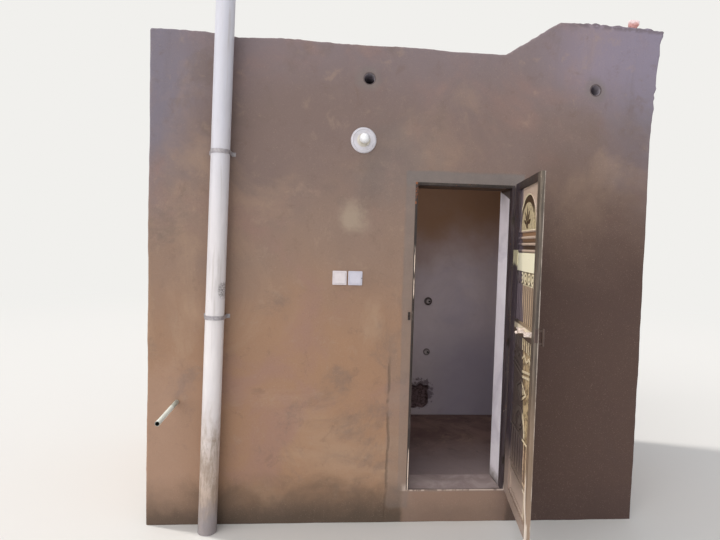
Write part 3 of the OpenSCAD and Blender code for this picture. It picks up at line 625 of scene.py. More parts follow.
def lock_rail_paint():
    """The rail behind the bolt: a cream band at the bolt, dark below the bolt, and painted shadow towards the
    hinge.
    """
    s = Shade("rail_paint", 0.45, specular=0.45)
    x, inner, z = leaf_places(s)
    wander = s.drift(0.03, 14, 6, 0.65, 0.6)
    low = s.mix(s.noise(30, 5, 0.7), (52, 40, 34), (104, 84, 66))
    # Painted shadow: above the bolt the rail darkens towards the hinge
    upper = s.mix(x.span(-0.34, -0.2), (150, 130, 106), (60, 49, 40))
    s.colour = s.mix(z.span(1.306, 1.314), low, upper)
    # A cream band at the bolt, weaker towards the hinge
    pale_band = (z + wander).span(1.276, 1.284) * z.drop(1.308, 1.316) * inner.span(-0.001, 0.001, 0.4, 1)
    pale_band = pale_band * (x + wander).span(-0.26, -0.2, 1, 0.5)
    s.wash(pale_band, s.mix(s.noise(40, 5, 0.7), (220, 204, 172), (248, 238, 216)))
    chip = s.noise(44, 7, 0.75, 0.9).span(0.6, 0.66)
    s.wash(chip, (112, 84, 62))
    s.relief((pale_band, 0.0003), (chip, -0.0005))
    return s.done()


def upper_panel_colours(s, x, z, out, raised, edge, cream, dark):
    """The arch with its leaf, the bands under it, the plain cream band, the rings and the reeds."""
    lo, hi = leaf_bounds("leaf_upper_panel")
    arch_r = (hi.x - lo.x) / 2 - 0.018
    spring = hi.z - 0.046 - arch_r
    reed_top = spring - 0.303
    soft = 0.004
    upright = s.add("ShaderNodeCombineXYZ", X=x, Z=z).outputs[0]
    reach = s.far(upright, ((lo.x + hi.x) / 2, 0, spring))
    above = z.span(spring + soft, spring + 2 * soft)
    bands, rings = z.between(spring - 0.124, spring, soft), z.between(reed_top, reed_top + 0.072, soft)
    slab = z.between(spring - 0.229, spring - 0.126, soft)
    hollow = 1 - raised
    bronze = s.mix(s.noise(30, 5, 0.65), (154, 132, 112), (200, 176, 150))
    reeds = s.mix(raised, s.mix(0.45, dark, bronze), bronze)
    s.colour = s.mix(z.drop(reed_top - soft, reed_top), cream, reeds)
    s.wash(bands * hollow, s.mix(z.span(spring - 0.08, spring - 0.03), dark, (146, 112, 84)))
    s.wash(rings * hollow * 0.75, dark)
    outside = above * reach.span(arch_r - 0.002, arch_r + 0.002)
    s.wash((bands * raised | outside) * 0.75, (174, 148, 140))
    dome = above * reach.drop(arch_r - 0.012, arch_r - 0.006)
    s.wash(dome * 0.85, s.mix(s.noise(70, 4, 0.7).span(0.35, 0.6), (122, 104, 80), (196, 180, 144)))
    s.wash(slab * 0.95, (255, 250, 222))
    s.wash(edge * 0.7, dark)
    crescent = z.span(spring + 0.06, spring + 0.14) * reach.drop(arch_r - 0.008, arch_r - 0.004)
    fan = out.span(0.0086, 0.0098) * z.span(spring + 0.012, spring + 0.016)
    s.wash(crescent * out.drop(0.004, 0.0066) | fan, dark)
    return slab


def lower_panel_colours(s, z, raised, edge, cream, dark):
    """The scrolls on their brown ground, the reeds below them and the dusty kick plate."""
    lo, hi = leaf_bounds("leaf_lower_panel")
    fall = hi.z - lo.z
    soft = 0.004
    ground = s.mix(s.noise(14, 5).span(0.35, 0.62), (140, 118, 90), (196, 174, 136))
    s.colour = s.mix(raised, ground, s.mix(0.35, cream, (176, 152, 122)))
    s.wash(edge * 0.9, dark)
    reeds = z.between(lo.z + fall * 0.2 - soft, lo.z + fall * 0.43 - soft, soft)
    s.wash(reeds * 0.5, (190, 152, 128))
    s.wash(reeds * (1 - raised) * 0.6, dark)
    # Dark breaks, most in the hollows: painted shadows between the scrolls
    breaks = s.noise(34, 5, 0.7, 0.4).span(0.5, 0.57) * raised.span(0, 1, 0.85, 0.35)
    s.wash(breaks, (76, 58, 42))
    kick = z.drop(lo.z + fall * 0.17, lo.z + fall * 0.19)
    s.wash(kick * 0.7, s.mix(raised, (186, 166, 148), (222, 208, 190)))


def pressed_paint(name, upper):
    """Cream and bronze paint: pale on what stands out, dark in the hollows between."""
    s = Shade(name, 0.45, specular=0.5)
    x, inner, z = leaf_places(s)
    out = abs(inner)
    cream = s.mix(s.noise(9, 5, 0.62, 0.6).span(0.35, 0.68), (226, 212, 176), (244, 234, 206))
    dark = s.mix(s.noise(40, 5, 0.65), (40, 28, 20), (84, 62, 42))
    raised = out.span(0.0032, 0.0068)
    edge = out.span(0.0026, 0.0034) * out.drop(0.0048, 0.006)
    # Painted shadow of the wall over the leaf: dark towards the hinge, and further out towards the foot of
    # the leaf
    line = x + s.drift(0.06, 7, 5, 0.6, 0.5) - z.span(0.4, 2.0, -0.52, -0.2, False)
    painted_shadow = line.span(-0.01, 0.03) * inner.span(-0.001, 0.001, 0.12, 0.94)
    if upper:
        slab = upper_panel_colours(s, x, z, out, raised, edge, cream, dark)
        # Over the slab the painted shadow mostly lifts: a painted patch of sunlight
        painted_shadow = painted_shadow * slab.span(0, 1, 1, 0.22)
    else:
        lower_panel_colours(s, z, raised, edge, cream, dark)
    # The painted shadow's colour: paler at the very foot of the leaf, darker higher up
    low_tone = s.mix(z.span(0.32, 0.54), (176, 156, 144), (92, 77, 69))
    s.wash(painted_shadow, s.mix(z.span(0.44, 0.62), low_tone, (84, 73, 84) if upper else (60, 48, 49)))
    rust = s.noise(30, 7, 0.74, 0.9).span(0.66, 0.7)
    s.wash(rust, (122, 76, 46))
    s.relief((s.noise(90, 4, 0.6), 0.0003), (rust, -0.0004))
    return s.done(painted_shadow.span(0, 1, 0.45, 0.7, False))


def link(name, data):
    """A new object in the scene."""
    made = bpy.data.objects.new(name, data)
    bpy.context.scene.collection.objects.link(made)
    return made


def lookup(points, x):
    return np.interp(x, [p[0] for p in points], [p[1] for p in points])


def stops(start, *parts):
    """Places along a line from start, in (to, step) parts that are each split evenly."""
    places = []
    for end, step in parts:
        count = max(1, round((end - start) / step))
        places += [start + (end - start) * i / count for i in range(count)]
        start = end
    return np.array(places + [start])


def plane(rows, columns, row_axis, column_axis, rest=0.0):
    """A flat grid of points whose rows and columns run along two of the axes 0, 1 and 2."""
    points = np.full((len(rows), len(columns), 3), float(rest))
    points[..., row_axis] = rows[:, None]
    points[..., column_axis] = columns[None]
    return points


class Mesh:
    """Collects grids of points into one mesh with several materials."""

    def __init__(self):
        self.points = []
        self.faces = []
        self.slots = []
        self.count = 0

    def grid(self, points, keep=None, slot=0, flip=False, ring=False):
        """Adds a grid of rows by columns by 3. keep says which of its cells stay.

        ring joins the last column to the first."""
        rows, columns = points.shape[:2]
        index = np.arange(rows * columns).reshape(rows, columns) + self.count
        if ring:
            index = np.concatenate([index, index[:, :1]], axis=1)
        a, b, c, d = index[:-1, :-1], index[:-1, 1:], index[1:, 1:], index[1:, :-1]
        quads = np.stack((a, d, c, b) if flip else (a, b, c, d), axis=-1)
        if keep is not None:
            quads = quads[keep]
        quads = quads.reshape(-1, 4)
        self.points.append(points.reshape(-1, 3))
        self.faces.append(quads)
        self.slots.append(np.full(len(quads), slot))
        self.count += rows * columns

    def build(self, name, *materials):
        points = np.concatenate(self.points)
        quads = np.concatenate(self.faces)
        used = np.unique(quads)
        renumber = np.zeros(len(points), int)
        renumber[used] = np.arange(len(used))
        mesh = bpy.data.meshes.new(name)
        mesh.from_pydata(points[used].tolist(), [], renumber[quads].tolist())
        mesh.polygons.foreach_set("material_index", np.concatenate(self.slots).astype(np.int32))
        for material in materials:
            mesh.materials.append(material)
        welded = bmesh.new()
        welded.from_mesh(mesh)
        bmesh.ops.remove_doubles(welded, verts=welded.verts, dist=0.0002)
        welded.to_mesh(mesh)
        welded.free()
        return smoothed(name, mesh, 50)


def smoothed(name, mesh, sharp):
    """An object with smooth faces, and sharp edges from this angle in degrees up."""
    mesh.polygons.foreach_set("use_smooth", np.full(len(mesh.polygons), True))
    mesh.set_sharp_from_angle(angle=math.radians(sharp))
    mesh.update()
    return link(name, mesh)


def wavy(points, scale, seed, octaves=3):
    """Smooth noise from -1 to 1 at many points, as a sum of sine waves in chosen directions."""
    local = np.random.default_rng(seed)
    total = np.zeros(points.shape[:-1])
    weight = 0
    for octave in range(octaves):
        for _ in range(6):
            direction = local.normal(size=3)
            direction *= 2 * math.pi / (np.linalg.norm(direction) * scale)
            total += np.sin(points @ direction + local.uniform(0, 2 * math.pi)) * 0.5 ** octave
            weight += 0.5 ** octave * 0.5
        scale *= 0.47
    return np.clip(total / weight, -1, 1)


def trowelled(points, *layers):
    """How deep the trowel went, from 0 to 1, in (share, scale, seed) layers."""
    return 0.5 + 0.5 * sum(share * wavy(points, scale, seed, 2) for share, scale, seed in layers)


def ease(value, a, b):
    t = np.clip((value - a) / (b - a), 0, 1)
    return t * t * (3 - 2 * t)


def outside(x, z, x0, x1, z0, z1):
    """How far places on a wall lie outside a rectangle."""
    return np.hypot(np.maximum(np.maximum(x0 - x, x - x1), 0), np.maximum(np.maximum(z0 - z, z - z1), 0))


def fitting_calm(x, z):
    """0 where a fitting sits on the front wall, so that it stays seated there, and 1 away from it."""
    calm = ease(outside(x, z, frame_x0, frame_x1, floor_z, frame_top), 0.0, 0.14)
    for name in ("lamp_base", "switch_plate_left", "switch_plate_right", "latch_staple", "stub_pipe",
                 *drain_names, *clamp_names):
        lo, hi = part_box(name)
        calm = np.minimum(calm, ease(outside(x, z, lo.x, hi.x, lo.z, hi.z), 0.01, 0.09))
    return calm


def worn_top(x, y):
    """The height of the parapet's worn top at places on the plan."""
    leaned = x + (top_points[-1][0] - foot_right_x) * ease(x, foot_right_x - 0.3, foot_right_x - 0.01)
    spot = np.stack([x, y, np.full_like(x, 3.0)], 1)
    rough = ease(x, step_foot_x - 0.25, step_foot_x + 0.2)
    hump_h, chip_h, rough_chip_h = 0.010, 0.004, 0.007
    hump = np.abs(wavy(spot, 0.5, 3, 1)) * hump_h
    chip = np.abs(wavy(spot, 0.11, 4, 2)) * (chip_h + rough_chip_h * rough)
    return lookup(top_points, leaned) + hump + chip


def around(front, side, back, x0, x1, y0, y1):
    """Places once round a rectangle on the plan, anticlockwise from its front left corner."""
    return np.concatenate([
        np.stack([front[:-1], np.full(len(front) - 1, y0)], 1),
        np.stack([np.full(len(side) - 1, x1), side[:-1]], 1),
        np.stack([back[:0:-1], np.full(len(back) - 1, y1)], 1),
        np.stack([np.full(len(side) - 1, x0), side[:0:-1]], 1)])


def after(grid):
    """Each column's next one round a ring."""
    return np.roll(grid, -1, axis=1)


round_r = 0.016  # Radius of the walls' outer corners and of the parapet's outer edge
near_drain = 0.06  # How far from a drain's middle the rows and columns stay fine


def outer_plan(drains):
    """Places round the foot of the outer walls: fine at the corners, along the front and at the drains."""
    strip, strip_cell, drain_cell, doorway_cell, fine, coarse = 0.03, 0.006, 0.0075, 0.03, 0.018, 0.042
    left, right = drains
    front = stops(left_x, (left_x + strip, strip_cell), (left.x - near_drain, fine),
                  (left.x + near_drain, drain_cell), (frame_x0, fine), (frame_x1, doorway_cell),
                  (right.x - near_drain, fine), (right.x + near_drain, drain_cell),
                  (foot_right_x - strip, fine), (foot_right_x, strip_cell))
    side = stops(front_y, (front_y + strip, strip_cell), (rear_y - strip, coarse), (rear_y, strip_cell))
    back = stops(left_x, (left_x + strip, strip_cell), (foot_right_x - strip, coarse),
                 (foot_right_x, strip_cell))
    return around(front, side, back, left_x, foot_right_x, front_y, rear_y)


def outer_rows(base, drain_z):
    """The outer shell's rows from the ground up and over the parapet: plan, level, normal, push."""
    x, y = base[:, 0], base[:, 1]
    corner = np.stack([np.clip(x, left_x + round_r, foot_right_x - round_r),
                       np.clip(y, front_y + round_r, rear_y - round_r)], 1)
    out = base - corner
    normal = out / np.maximum(np.linalg.norm(out, axis=1, keepdims=True), 1e-9)
    rounded = corner + normal * round_r
    inner = np.stack([np.where(x < 0, x * room_left / left_x, x * room_right / foot_right_x),
                      np.where(y < 0, y * room_front / front_y, y * room_rear / rear_y)], 1)
    top = worn_top(x, y)
    # Up to fixed_z the rows stay level, above the drains they follow the worn top
    fixed_z, nominal = frame_top + 0.06, top_points[0][1]
    shoulder = nominal - round_r
    rows = [(rounded, np.full_like(x, z), normal, 1.0)
            for z in stops(0, (floor_z, 0.03), (frame_top, 0.034), (fixed_z, 0.03))]
    stretch = np.maximum((top - round_r - fixed_z) / (nominal - round_r - fixed_z), 0.5)
    for z in stops(fixed_z, (drain_z - near_drain, 0.034), (drain_z + near_drain, 0.0085),
                   (nominal - 0.09, 0.03), (shoulder, 0.012))[1:]:
        share = ease(z, drain_z + near_drain, shoulder)
        rows.append((rounded, z + (fixed_z + (z - fixed_z) * stretch - z) * share, normal, 1.0))
    for i in range(1, 5):
        turn = i / 5 * math.pi / 2
        ring = corner + normal * (round_r * math.cos(turn))
        rows.append((ring, top - round_r + round_r * math.sin(turn), normal, math.cos(turn)))
    # Across the parapet's top, and down its inner side to below the roof's surface
    across, down, brow, brow_drop, sunk = 12, 6, 0.93, 0.02, 0.06
    for i in range(across + 1):
        share = i / across
        ring = corner + (inner - corner) * (share * brow)
        bump = 0.010 * wavy(np.column_stack([ring, np.ones(len(ring))]), 0.11, 8)
        rows.append((ring, worn_top(*ring.T) + bump * min(min(share, 1 - share) * 4, 1), normal, 0.0))
    for i in range(1, down + 1):
        share = i / down
        turned = min(share * 3, 1)
        ring = corner + (inner - corner) * (brow + (1 - brow) * turned)
        inner_top = worn_top(*ring.T) - brow_drop
        fall = (inner_top - roof_z + sunk) * max(share - 0.2, 0) / 0.8
        rows.append((ring, inner_top + brow_drop * (1 - turned) - fall, -normal, 1.0))
    return inner, [np.stack(part) for part in zip(*rows)]


def outer_shell(mesh):
    """The outside of the four walls, over the worn parapet and down its inner side to the roof."""
    wave_depth, lump_size = 0.012, 0.007
    drains = [middle(name) for name in drain_names]
    lo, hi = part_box(drain_names[0])
    drain_r = (hi.x - lo.x) / 2 + 0.0008
    inner, (plan, level, normals, push) = outer_rows(outer_plan(drains), drains[0].z)
    push = push[:, None]
    points = np.concatenate([plan, level[..., None]], axis=2)
    # The right-hand face leans out near its top, and is lumpy there
    lean = lookup(edge_points, level) - foot_right_x
    points[..., 0] += lean * ease(points[..., 0], foot_right_x - 0.3, foot_right_x - 0.01)
    lumps = lump_size * wavy(points, 0.06, 9, 2) * ease(level, plumb_z - 0.2, plumb_z + 0.3)
    points[..., 0] += lumps * ease(points[..., 0], foot_right_x - 0.05, foot_right_x) * (push > 0)
    points[..., 0] = np.minimum(points[..., 0], edge_points[-1][1])
    # The plaster's waves, calm at the fittings
    depth = trowelled(points, (0.55, 0.9, 11), (0.3, 0.24, 12), (0.15, 0.09, 13))
    on_front = normals[..., 1] < -0.7
    calm = np.where(on_front, fitting_calm(points[..., 0], points[..., 2]), 1.0)
    points[..., :2] -= normals * (wave_depth * depth * calm * np.clip(push, 0, 1))[..., None]
    # The doorway and the drains are left open, and the points round a drain move onto its rim
    centre = (points[:-1] + after(points)[1:]) / 2
    face_front = on_front[:-1] & after(on_front)[:-1] & (centre[..., 1] < front_y + 0.05)
    keep = ~(face_front & (centre[..., 0] > frame_x0) & (centre[..., 0] < frame_x1)
             & (centre[..., 2] > floor_z) & (centre[..., 2] < frame_top))
    for spot in drains:
        reach = np.hypot(points[..., 0] - spot.x, points[..., 2] - spot.z)
        close = reach < drain_r + 0.006
        moved = on_front & (points[..., 1] < front_y + 0.05) & close & (reach > 1e-6)
        pull = drain_r / np.maximum(reach, 1e-6)
        for axis, at in ((0, spot.x), (2, spot.z)):
            points[..., axis] = np.where(moved, at + (points[..., axis] - at) * pull, points[..., axis])
        keep &= ~(close[:-1] & close[1:] & after(close)[:-1] & after(close)[1:] & face_front)
    mesh.grid(points, keep, slot=0, ring=True)
    mesh.grid(np.stack([np.column_stack([inner, np.zeros(len(inner))]), points[0]]), slot=0, ring=True)


def ragged_patch(x, z):
    """1 well inside the broken patch and 0 outside it."""
    centre = (patch_lo + patch_hi) / 2
    angle = np.arctan2(z - centre.z, x - centre.x)
    edge = np.interp(angle, *zip(*patch_outline), period=2 * math.pi)
    return ease(edge - np.hypot(x - centre.x, z - centre.z), -0.004, 0.010)


def inner_shell(mesh):
    """The room's four limewashed walls, with the doorway left out and the broken patch pushed in."""
    wide, fine, margin, low_cell, wave_depth = 0.055, 0.0085, 0.02, 0.02, 0.004
    front = stops(room_left, (door_x0, wide), (door_x1, wide), (room_right, wide))
    back = stops(room_left, (patch_lo.x - margin, wide), (patch_hi.x + margin, fine), (room_right, wide))
    side = stops(room_front, (room_rear, wide))
    base = around(front, side, back, room_left, room_right, room_front, room_rear)
    levels = stops(floor_z, (patch_lo.z - margin, low_cell), (patch_hi.z + margin, fine), (door_top, wide),
                   (ceiling_z, wide))
    at_front, at_rear = np.isclose(base[:, 1], room_front), np.isclose(base[:, 1], room_rear)
    at_left, at_right = np.isclose(base[:, 0], room_left), np.isclose(base[:, 0], room_right)
    inward_x = np.where(at_front | at_rear, 0, at_left * 1.0 - at_right)
    inward = np.stack([inward_x, at_front * 1.0 - at_rear], 1)
    points = np.zeros((len(levels), len(base), 3))
    points[..., :2] = base[None]
    points[..., 2] = levels[:, None]
    x, z = points[..., 0], points[..., 2]
    calm = np.where(at_front, ease(outside(x, z, door_x0, door_x1, 0, door_top), 0, 0.1), 1.0)
    depth = trowelled(points, (0.7, 0.9, 21), (0.3, 0.25, 22))
    points[..., :2] += inward[None] * (-wave_depth * depth * calm)[..., None]
    points[..., 1] += ragged_patch(x, z) * at_rear * patch_depth
    centre = (points[:-1] + after(points)[1:]) / 2
    keep = ~(at_front & (centre[..., 0] > door_x0) & (centre[..., 0] < door_x1) & (centre[..., 2] < door_top))
    mesh.grid(points, keep, slot=1, flip=True, ring=True)


def reveals(mesh):
    """The sides and head of the doorway behind the steel frame, rounded into the room."""
    cell, wave_depth, frame_calm, room_calm = 0.028, 0.006, 0.05, 0.06
    ys = stops(frame_back, (room_front, cell))
    zs = stops(floor_z, (door_top, cell))
    for x, inward in ((door_x0, 1), (door_x1, -1)):
        points = plane(zs, ys, 2, 1, x)
        y = points[..., 1]
        near_room = ease(y, room_front - room_calm, room_front)
        calm = ease(y, frame_back, frame_back + frame_calm) * (1 - near_room)
        points[..., 0] -= inward * wave_depth * trowelled(points, (1, 0.16, 31)) * calm
        mesh.grid(points, slot=3, flip=inward < 0)
    mesh.grid(plane(stops(door_x0, (door_x1, cell)), ys, 0, 1, door_top), slot=1)


def sill(mesh):
    """The sill's top, level with the floor and worn hollow in the middle of its front edge."""
    cell, worn_back, worn_half_w, worn_depth, wave_h = 0.02, 0.1, 0.2, 0.006, 0.0015
    points = plane(stops(front_y, (room_front, cell)), stops(door_x0, (door_x1, cell)), 1, 0)
    edge = 1 - ease(points[..., 1], front_y, front_y + worn_back)
    centre = np.exp(-((points[..., 0] - (door_x0 + door_x1) / 2) / worn_half_w) ** 2)
    waves = wave_h * (1 + wavy(points, 0.08, 41, 2)) * ease(points[..., 1], front_y, front_y + 0.02)
    points[..., 2] = floor_z - worn_depth * edge * centre - waves
    mesh.grid(points, slot=2)


def masonry():
    mesh = Mesh()
    for part in (outer_shell, inner_shell, reveals, sill):
        part(mesh)
    piece = mesh.build(
        "plastered_walls", earth_plaster(), limewash("limewash", (188, 175, 178), (206, 194, 198), 0.85),
        sill_cement(), limewash("reveal_wash", (226, 218, 226), (248, 243, 250), 0.1, reveal=True))
    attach(piece, "house")
    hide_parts("front_wall_left", "front_wall_right", "front_wall_over_door", "door_sill",
                "left_wall", "right_wall", "rear_wall")


def surface(name, lo, hi, z_of, cell, material, replaced):
    """A slab over a rectangle, with a worn top."""
    mesh = Mesh()
    points = plane(stops(lo.y, (hi.y, cell)), stops(lo.x, (hi.x, cell)), 1, 0)
    points[..., 2] = z_of(points)
    under = points.copy()
    under[..., 2] = lo.z
    mesh.grid(points)
    mesh.grid(under, flip=True)
    rim = [np.concatenate([p[0], p[1:, -1], p[-1, -2::-1], p[-2:0:-1, 0]]) for p in (under, points)]
    mesh.grid(np.stack(rim), ring=True)
    piece = mesh.build(name, material)
    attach(piece, "house")
    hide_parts(replaced)


def floors():
    floor_wave, floor_cell, roof_wave, roof_cell = 0.002, 0.04, 0.004, 0.035
    lo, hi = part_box("floor_slab")
    surface("room_floor", lo, hi, lambda p: hi.z - floor_wave * (1 + wavy(p, 0.5, 51, 3)), floor_cell,
            cement_floor(), "floor_slab")
    roof_lo, roof_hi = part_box("roof_screed")
    front = min(v.co.z for v in nodes["roof_screed"].data.vertices if v.co.z > roof_lo.z + 0.01)

    def fall(p):
        share = (p[..., 1] - roof_lo.y) / (roof_hi.y - roof_lo.y)
        return front + (roof_hi.z - front) * share - roof_wave * (1 + wavy(p, 0.35, 52, 3))
    surface("roof_surface", roof_lo, roof_hi, fall, roof_cell, roof_mud(), "roof_screed")


def assign(material, *names):
    for name in names:
        data = nodes[name].data
        data.materials.clear()
        data.materials.append(material)


def dress_nodes():
    """Every CAD node that stays visible gets its material."""
    assign(sawn_timber("sawn_board", (0.06, 1, 1), (112, 84, 60), (150, 118, 86), 0.14), "roof_boards")
    assign(sawn_timber("round_pole", (1, 0.06, 1), (92, 68, 50), (134, 104, 76)),
           *["roof_pole_%d" % i for i in range(1, 6)])
    assign(white_pipe("vent_plastic", (230, 225, 226), stain_top=0.9), "vent_pipe")
    bore = (middle("stub_pipe"), 0.0108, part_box("stub_pipe")[0].y)
    assign(white_pipe("stub_plastic", (240, 248, 238), bore=bore), "stub_pipe")
    assign(drain_pipe(), *drain_names)
    assign(zinc(), *clamp_names)
    lamp, plate = middle("lamp_base"), middle("switch_plate_right")
    assign(moulded("lamp_plastic", (204, 202, 210), 0.35, (lamp.x, lamp.z), 0.038, (200, 194, 178)),
           "lamp_base")
    assign(moulded("lamp_globe", (240, 242, 246), 0.08), "lamp_bulb")
    assign(moulded("plate_plastic", (218, 210, 214), 0.2), "switch_plate_left")
    dark_spot = (plate.x + 0.039, plate.z)
    assign(moulded("right_plate_plastic", (203, 201, 214), 0.2, dark_spot, 0.003, (70, 62, 62)),
           "switch_plate_right")
    for name, rim in (("wall_outlet_upper", (84, 72, 72)), ("wall_outlet_lower", (118, 107, 108))):
        assign(outlet(name + "_paint", middle(name), rim), name)
    assign(jamb_flakes_and_glints(), "door_frame_latch_jamb")
    assign(steel_paint("frame_paint", (36, 28, 26), (56, 46, 42), 0.6, 0.25), "door_frame_head",
           "latch_staple", "hinge_pins", "hinge_sleeves", "leaf_top_rail")
    assign(steel_paint("hinge_jamb_paint", (50, 41, 45), (76, 65, 69), 0.6, 0.25), "door_frame_hinge_jamb")
    for name, side, node in (("leaf_paint", "latch", "leaf_latch_stile"),
                             ("rail_low_paint", "rail", "leaf_bottom_rail")):
        assign(steel_paint(name, (62, 54, 49), (118, 106, 94), 0.66, leaf=side), node)
    # The hinge stile's paint is darker and purpler than the latch stile's: painted shade on the leaf's hinge
    # side
    assign(steel_paint("hinge_stile_shade_paint", (48, 39, 47), (75, 64, 71), 0.62, 0.2, leaf="hinge"),
           "leaf_hinge_stile")
    assign(lock_rail_paint(), "leaf_lock_rail")
    assign(steel_paint("handle_paint", (64, 48, 42), (104, 84, 74), 0.58), "pull_handle")
    for place in ("upper", "lower"):
        assign(pressed_paint(place + "_panel_paint", place == "upper"), "leaf_%s_panel" % place)
    assign(bare_metal("bare_steel", (210, 195, 184), (246, 231, 222), 0.25), "bolt_guides", "door_bolt")


brick_x, brick_y = 1.405, front_y + 0.036
brick_z = float(worn_top(np.array([brick_x]), np.array([brick_y]))[0]) + 0.024


def broken_brick():
    """Fired brick, with pale mortar left on its upper side."""
    s = Shade("broken_brick", 0.9, specular=0.2)
    grain = s.noise(90, 5, 0.7)
    s.colour = s.mix(grain.span(0.35, 0.65), (180, 124, 120), (218, 168, 164))
    top = s.z + s.drift(0.03, 40, 4)
    s.wash(top.span(brick_z, brick_z + 0.02, 0, 0.9), (238, 220, 222))
    s.relief((grain, 0.002))
    return s.done()


def brick_scrap():
    """The scrap on the worn corner: a rounded box cut by a few random planes, with an uneven skin."""
    size, seed, cuts, rough, roundness = (0.066, 0.052, 0.060), 5, 7, 0.05, 6
    chance = np.random.default_rng(seed)
    made = bmesh.new()
    bmesh.ops.create_cube(made, size=2)
    bmesh.ops.subdivide_edges(made, edges=made.edges, cuts=9, use_grid_fill=True)
    points = np.array([v.co for v in made.verts])
    points /= (np.abs(points) ** roundness).sum(1, keepdims=True) ** (1 / roundness)
    for _ in range(cuts):
        normal = chance.normal(size=3)
        normal /= np.linalg.norm(normal)
        beyond = np.maximum(points @ normal - chance.uniform(0.72, 0.95), 0)
        points -= beyond[:, None] * normal
    points *= 1 + rough * wavy(points, 0.8, seed, 3)[:, None]
    for v, p in zip(made.verts, points * np.array(size) / 2 + np.array((brick_x, brick_y, brick_z))):
        v.co = p
    mesh = bpy.data.meshes.new("brick_scrap")
    made.to_mesh(mesh)
    made.free()
    mesh.materials.append(broken_brick())
    piece = smoothed("brick_scrap", mesh, 35)
    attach(piece, "house")


def screw_head(mesh, x, y, z):
    """A domed head that stands out of a face towards the front."""
    r, h = 0.0048, 0.0024
    turns = np.linspace(0, 2 * math.pi, 19)[:-1]
    rings = [(r, 0.0), (r, h * 0.35), (r * 0.86, h * 0.7), (r * 0.6, h * 0.93), (r * 0.3, h),
             (r * 0.28, h * 0.6), (0.0002, h * 0.6)]
    points = np.array([[(x + a * math.cos(t), y - b, z + a * math.sin(t)) for t in turns] for a, b in rings])
    mesh.grid(points, ring=True)


def fixings():
    """The screws that hold the pipe clamps to the wall, one in each ear."""
    ear_w, inset = 0.012, 0.0085
    mesh = Mesh()
    for name in clamp_names:
        lo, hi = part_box(name)
        for end in (lo.x, hi.x):
            ear = [v.co for v in nodes[name].data.vertices if abs(v.co.x - end) < ear_w]
            z = sum(c.z for c in ear) / len(ear)
            screw_head(mesh, end + math.copysign(inset, (lo.x + hi.x) / 2 - end), min(c.y for c in ear), z)
    piece = mesh.build("clamp_screws", bare_metal("screw_steel", (150, 148, 150), (206, 204, 206)))
    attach(piece, "house")


def latch_plate():
    """The worn strike plate on the leaf's free edge, with its slot and two screws."""
    z0, z1, half_w, skin, thick = 1.268, 1.342, 0.0095, 0.0002, 0.0016
    slot_z, slot_half_h, slot_half_w = 1.300, 0.011, 0.004
    screw_zs, screw_r, screw_out = (1.277, 1.333), 0.0034, 0.0012
    zs, ys = stops(z0, (z1, 0.004)), stops(-half_w, (half_w, 0.0024))
    points = plane(zs, ys, 2, 1)
    y, z = points[..., 1], points[..., 2]
    rim = np.minimum(ease(np.minimum(zs - z0, z1 - zs), 0, 0.004)[:, None],
                     ease(np.minimum(ys + half_w, half_w - ys), 0, 0.0026)[None])
    points[..., 0] = free_edge - skin - thick * rim - skin * wavy(points, 0.02, 61, 2)
    slot = (np.abs(y) < slot_half_w) & (np.abs(z - slot_z) < slot_half_h)
    points[..., 0] = np.where(slot, free_edge - skin, points[..., 0])
    for screw_z in screw_zs:
        points[..., 0] -= screw_out * (np.hypot(y, z - screw_z) < screw_r)
    shape = points.shape
    points = np.array([leaf_frame @ Vector(p) for p in points.reshape(-1, 3)]).reshape(shape)
    mesh = Mesh()
    mesh.grid(points, flip=True)
    piece = mesh.build("latch_plate", steel_paint("plate_rust", (58, 44, 42), (104, 84, 76), 0.68))
    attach(piece, "door")


def camera():
    """The photograph's viewpoint: a hand-held camera just left of the middle, turned a little right."""
    focal_px, picture_w, sensor_mm = 541, 720, 36
    yaw, pitch, roll = math.radians(-4.54), math.radians(-2.72), math.radians(1.61)
    data = bpy.data.cameras.new("camera")
    data.sensor_width = sensor_mm
    data.lens = sensor_mm * focal_px / picture_w
    data.clip_end = 100
    made = link("camera", data)
    level = Matrix.Rotation(yaw, 4, "Z") @ Matrix.Rotation(math.pi / 2 + pitch, 4, "X")
    turn = level @ Matrix.Rotation(roll, 4, "Z")
    made.matrix_world = Matrix.Translation((-0.54, -4.16, 1.745)) @ turn
    bpy.context.scene.camera = made


pale = srgb(241, 240, 237)


def seen(tree):
    """1 for what the camera sees, straight or in a reflection or through glass, and 0 for light."""
    path = tree.nodes.new("ShaderNodeLightPath")
    total = path.outputs["Is Camera Ray"]
    for name in ("Is Glossy Ray", "Is Transmission Ray"):
        node = tree.nodes.new("ShaderNodeMath")
        node.operation = "MAXIMUM"
        tree.links.new(total, node.inputs[0])
        tree.links.new(path.outputs[name], node.inputs[1])
        total = node.outputs[0]
    return total


def blended(tree, share, under, over, out):
    """One shader fades into another by share."""
    node = tree.nodes.new("ShaderNodeMixShader")
    for socket, value in zip(node.inputs, (share, under, over)):
        tree.links.new(value, socket)
    tree.links.new(node.outputs[0], out.inputs["Surface"])


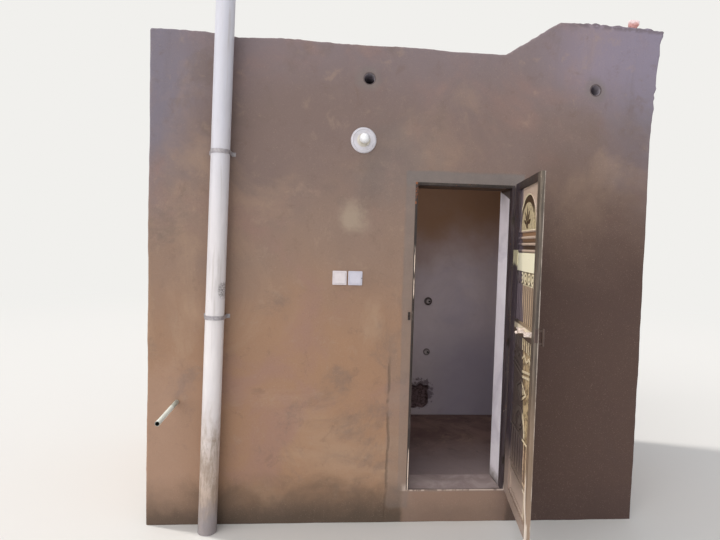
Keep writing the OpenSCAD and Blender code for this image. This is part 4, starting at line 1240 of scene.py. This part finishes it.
def stage_white():
    """Pale floor that takes the object's shadow and fades far out into the surround's colour."""
    s = Shade("stage_pale", 0.95, specular=0.0)
    s.put(s.shader.inputs["Base Color"], (0.78, 0.77, 0.75, 1))
    far = s.far(s.scaled(1, 1, 0), (0, 0, 0)).span(4.0, 15.0) * seen(s.tree)
    glow = s.add("ShaderNodeEmission", Color=pale)
    blended(s.tree, far.socket, s.shader.outputs["BSDF"], glow.outputs[0], s.out)
    return s.material


def stage():
    """A wide, pale, round floor, just under the house."""
    level = -0.001
    mesh = Mesh()
    radii = (0.0, 2.0, 5.0, 12.0, 30.0, 60.0)
    turns = np.linspace(0, 2 * math.pi, 49)[:-1]
    points = [[(r * math.cos(a), r * math.sin(a), level) for a in turns] for r in radii]
    mesh.grid(np.array(points), ring=True)
    mesh.build("stage_floor", stage_white())


def add_light(name, kind, energy, colour, toward):
    """A light that comes from the side that toward points to."""
    data = bpy.data.lights.new(name, kind)
    data.energy, data.color = energy, colour
    made = link(name, data)
    made.rotation_euler = Vector(toward).to_track_quat("Z", "Y").to_euler()
    return made


def lights():
    """An even sky, a soft key, and the sun high behind the house."""
    world = bpy.data.worlds.new("plain_sky")
    bpy.context.scene.world = world
    world.use_nodes = True
    tree = world.node_tree
    light = tree.nodes["Background"]
    light.inputs["Color"].default_value = (0.93, 0.95, 1.0, 1)
    light.inputs["Strength"].default_value = 0.56
    surround = tree.nodes.new("ShaderNodeBackground")
    surround.inputs["Color"].default_value = pale
    blended(tree, seen(tree), light.outputs[0], surround.outputs[0], tree.nodes["World Output"])
    key = add_light("soft_key", "SUN", 1.95, (1.0, 0.97, 0.93), (-0.72, -0.95, 0.5))
    key.data.angle = math.radians(75)
    back = add_light("high_back", "SUN", 1.5, (1.0, 0.96, 0.9), (-0.467, 0.156, 0.871))
    back.data.angle = math.radians(4)


def room_fill():
    """A weak lamp over the doorway inside, so that the room isn't black."""
    fill = add_light("room_fill", "AREA", 3.0, (1.0, 0.94, 0.97), (0, -1, 1.1))
    fill.data.shape, fill.data.size, fill.data.size_y = "RECTANGLE", 0.9, 0.2
    fill.location = ((door_x0 + door_x1) / 2, room_front + 0.15, ceiling_z - 0.22)


masonry()
floors()
dress_nodes()
brick_scrap()
fixings()
latch_plate()
camera()
stage()
lights()
room_fill()
bpy.context.scene.view_settings.view_transform = "Standard"
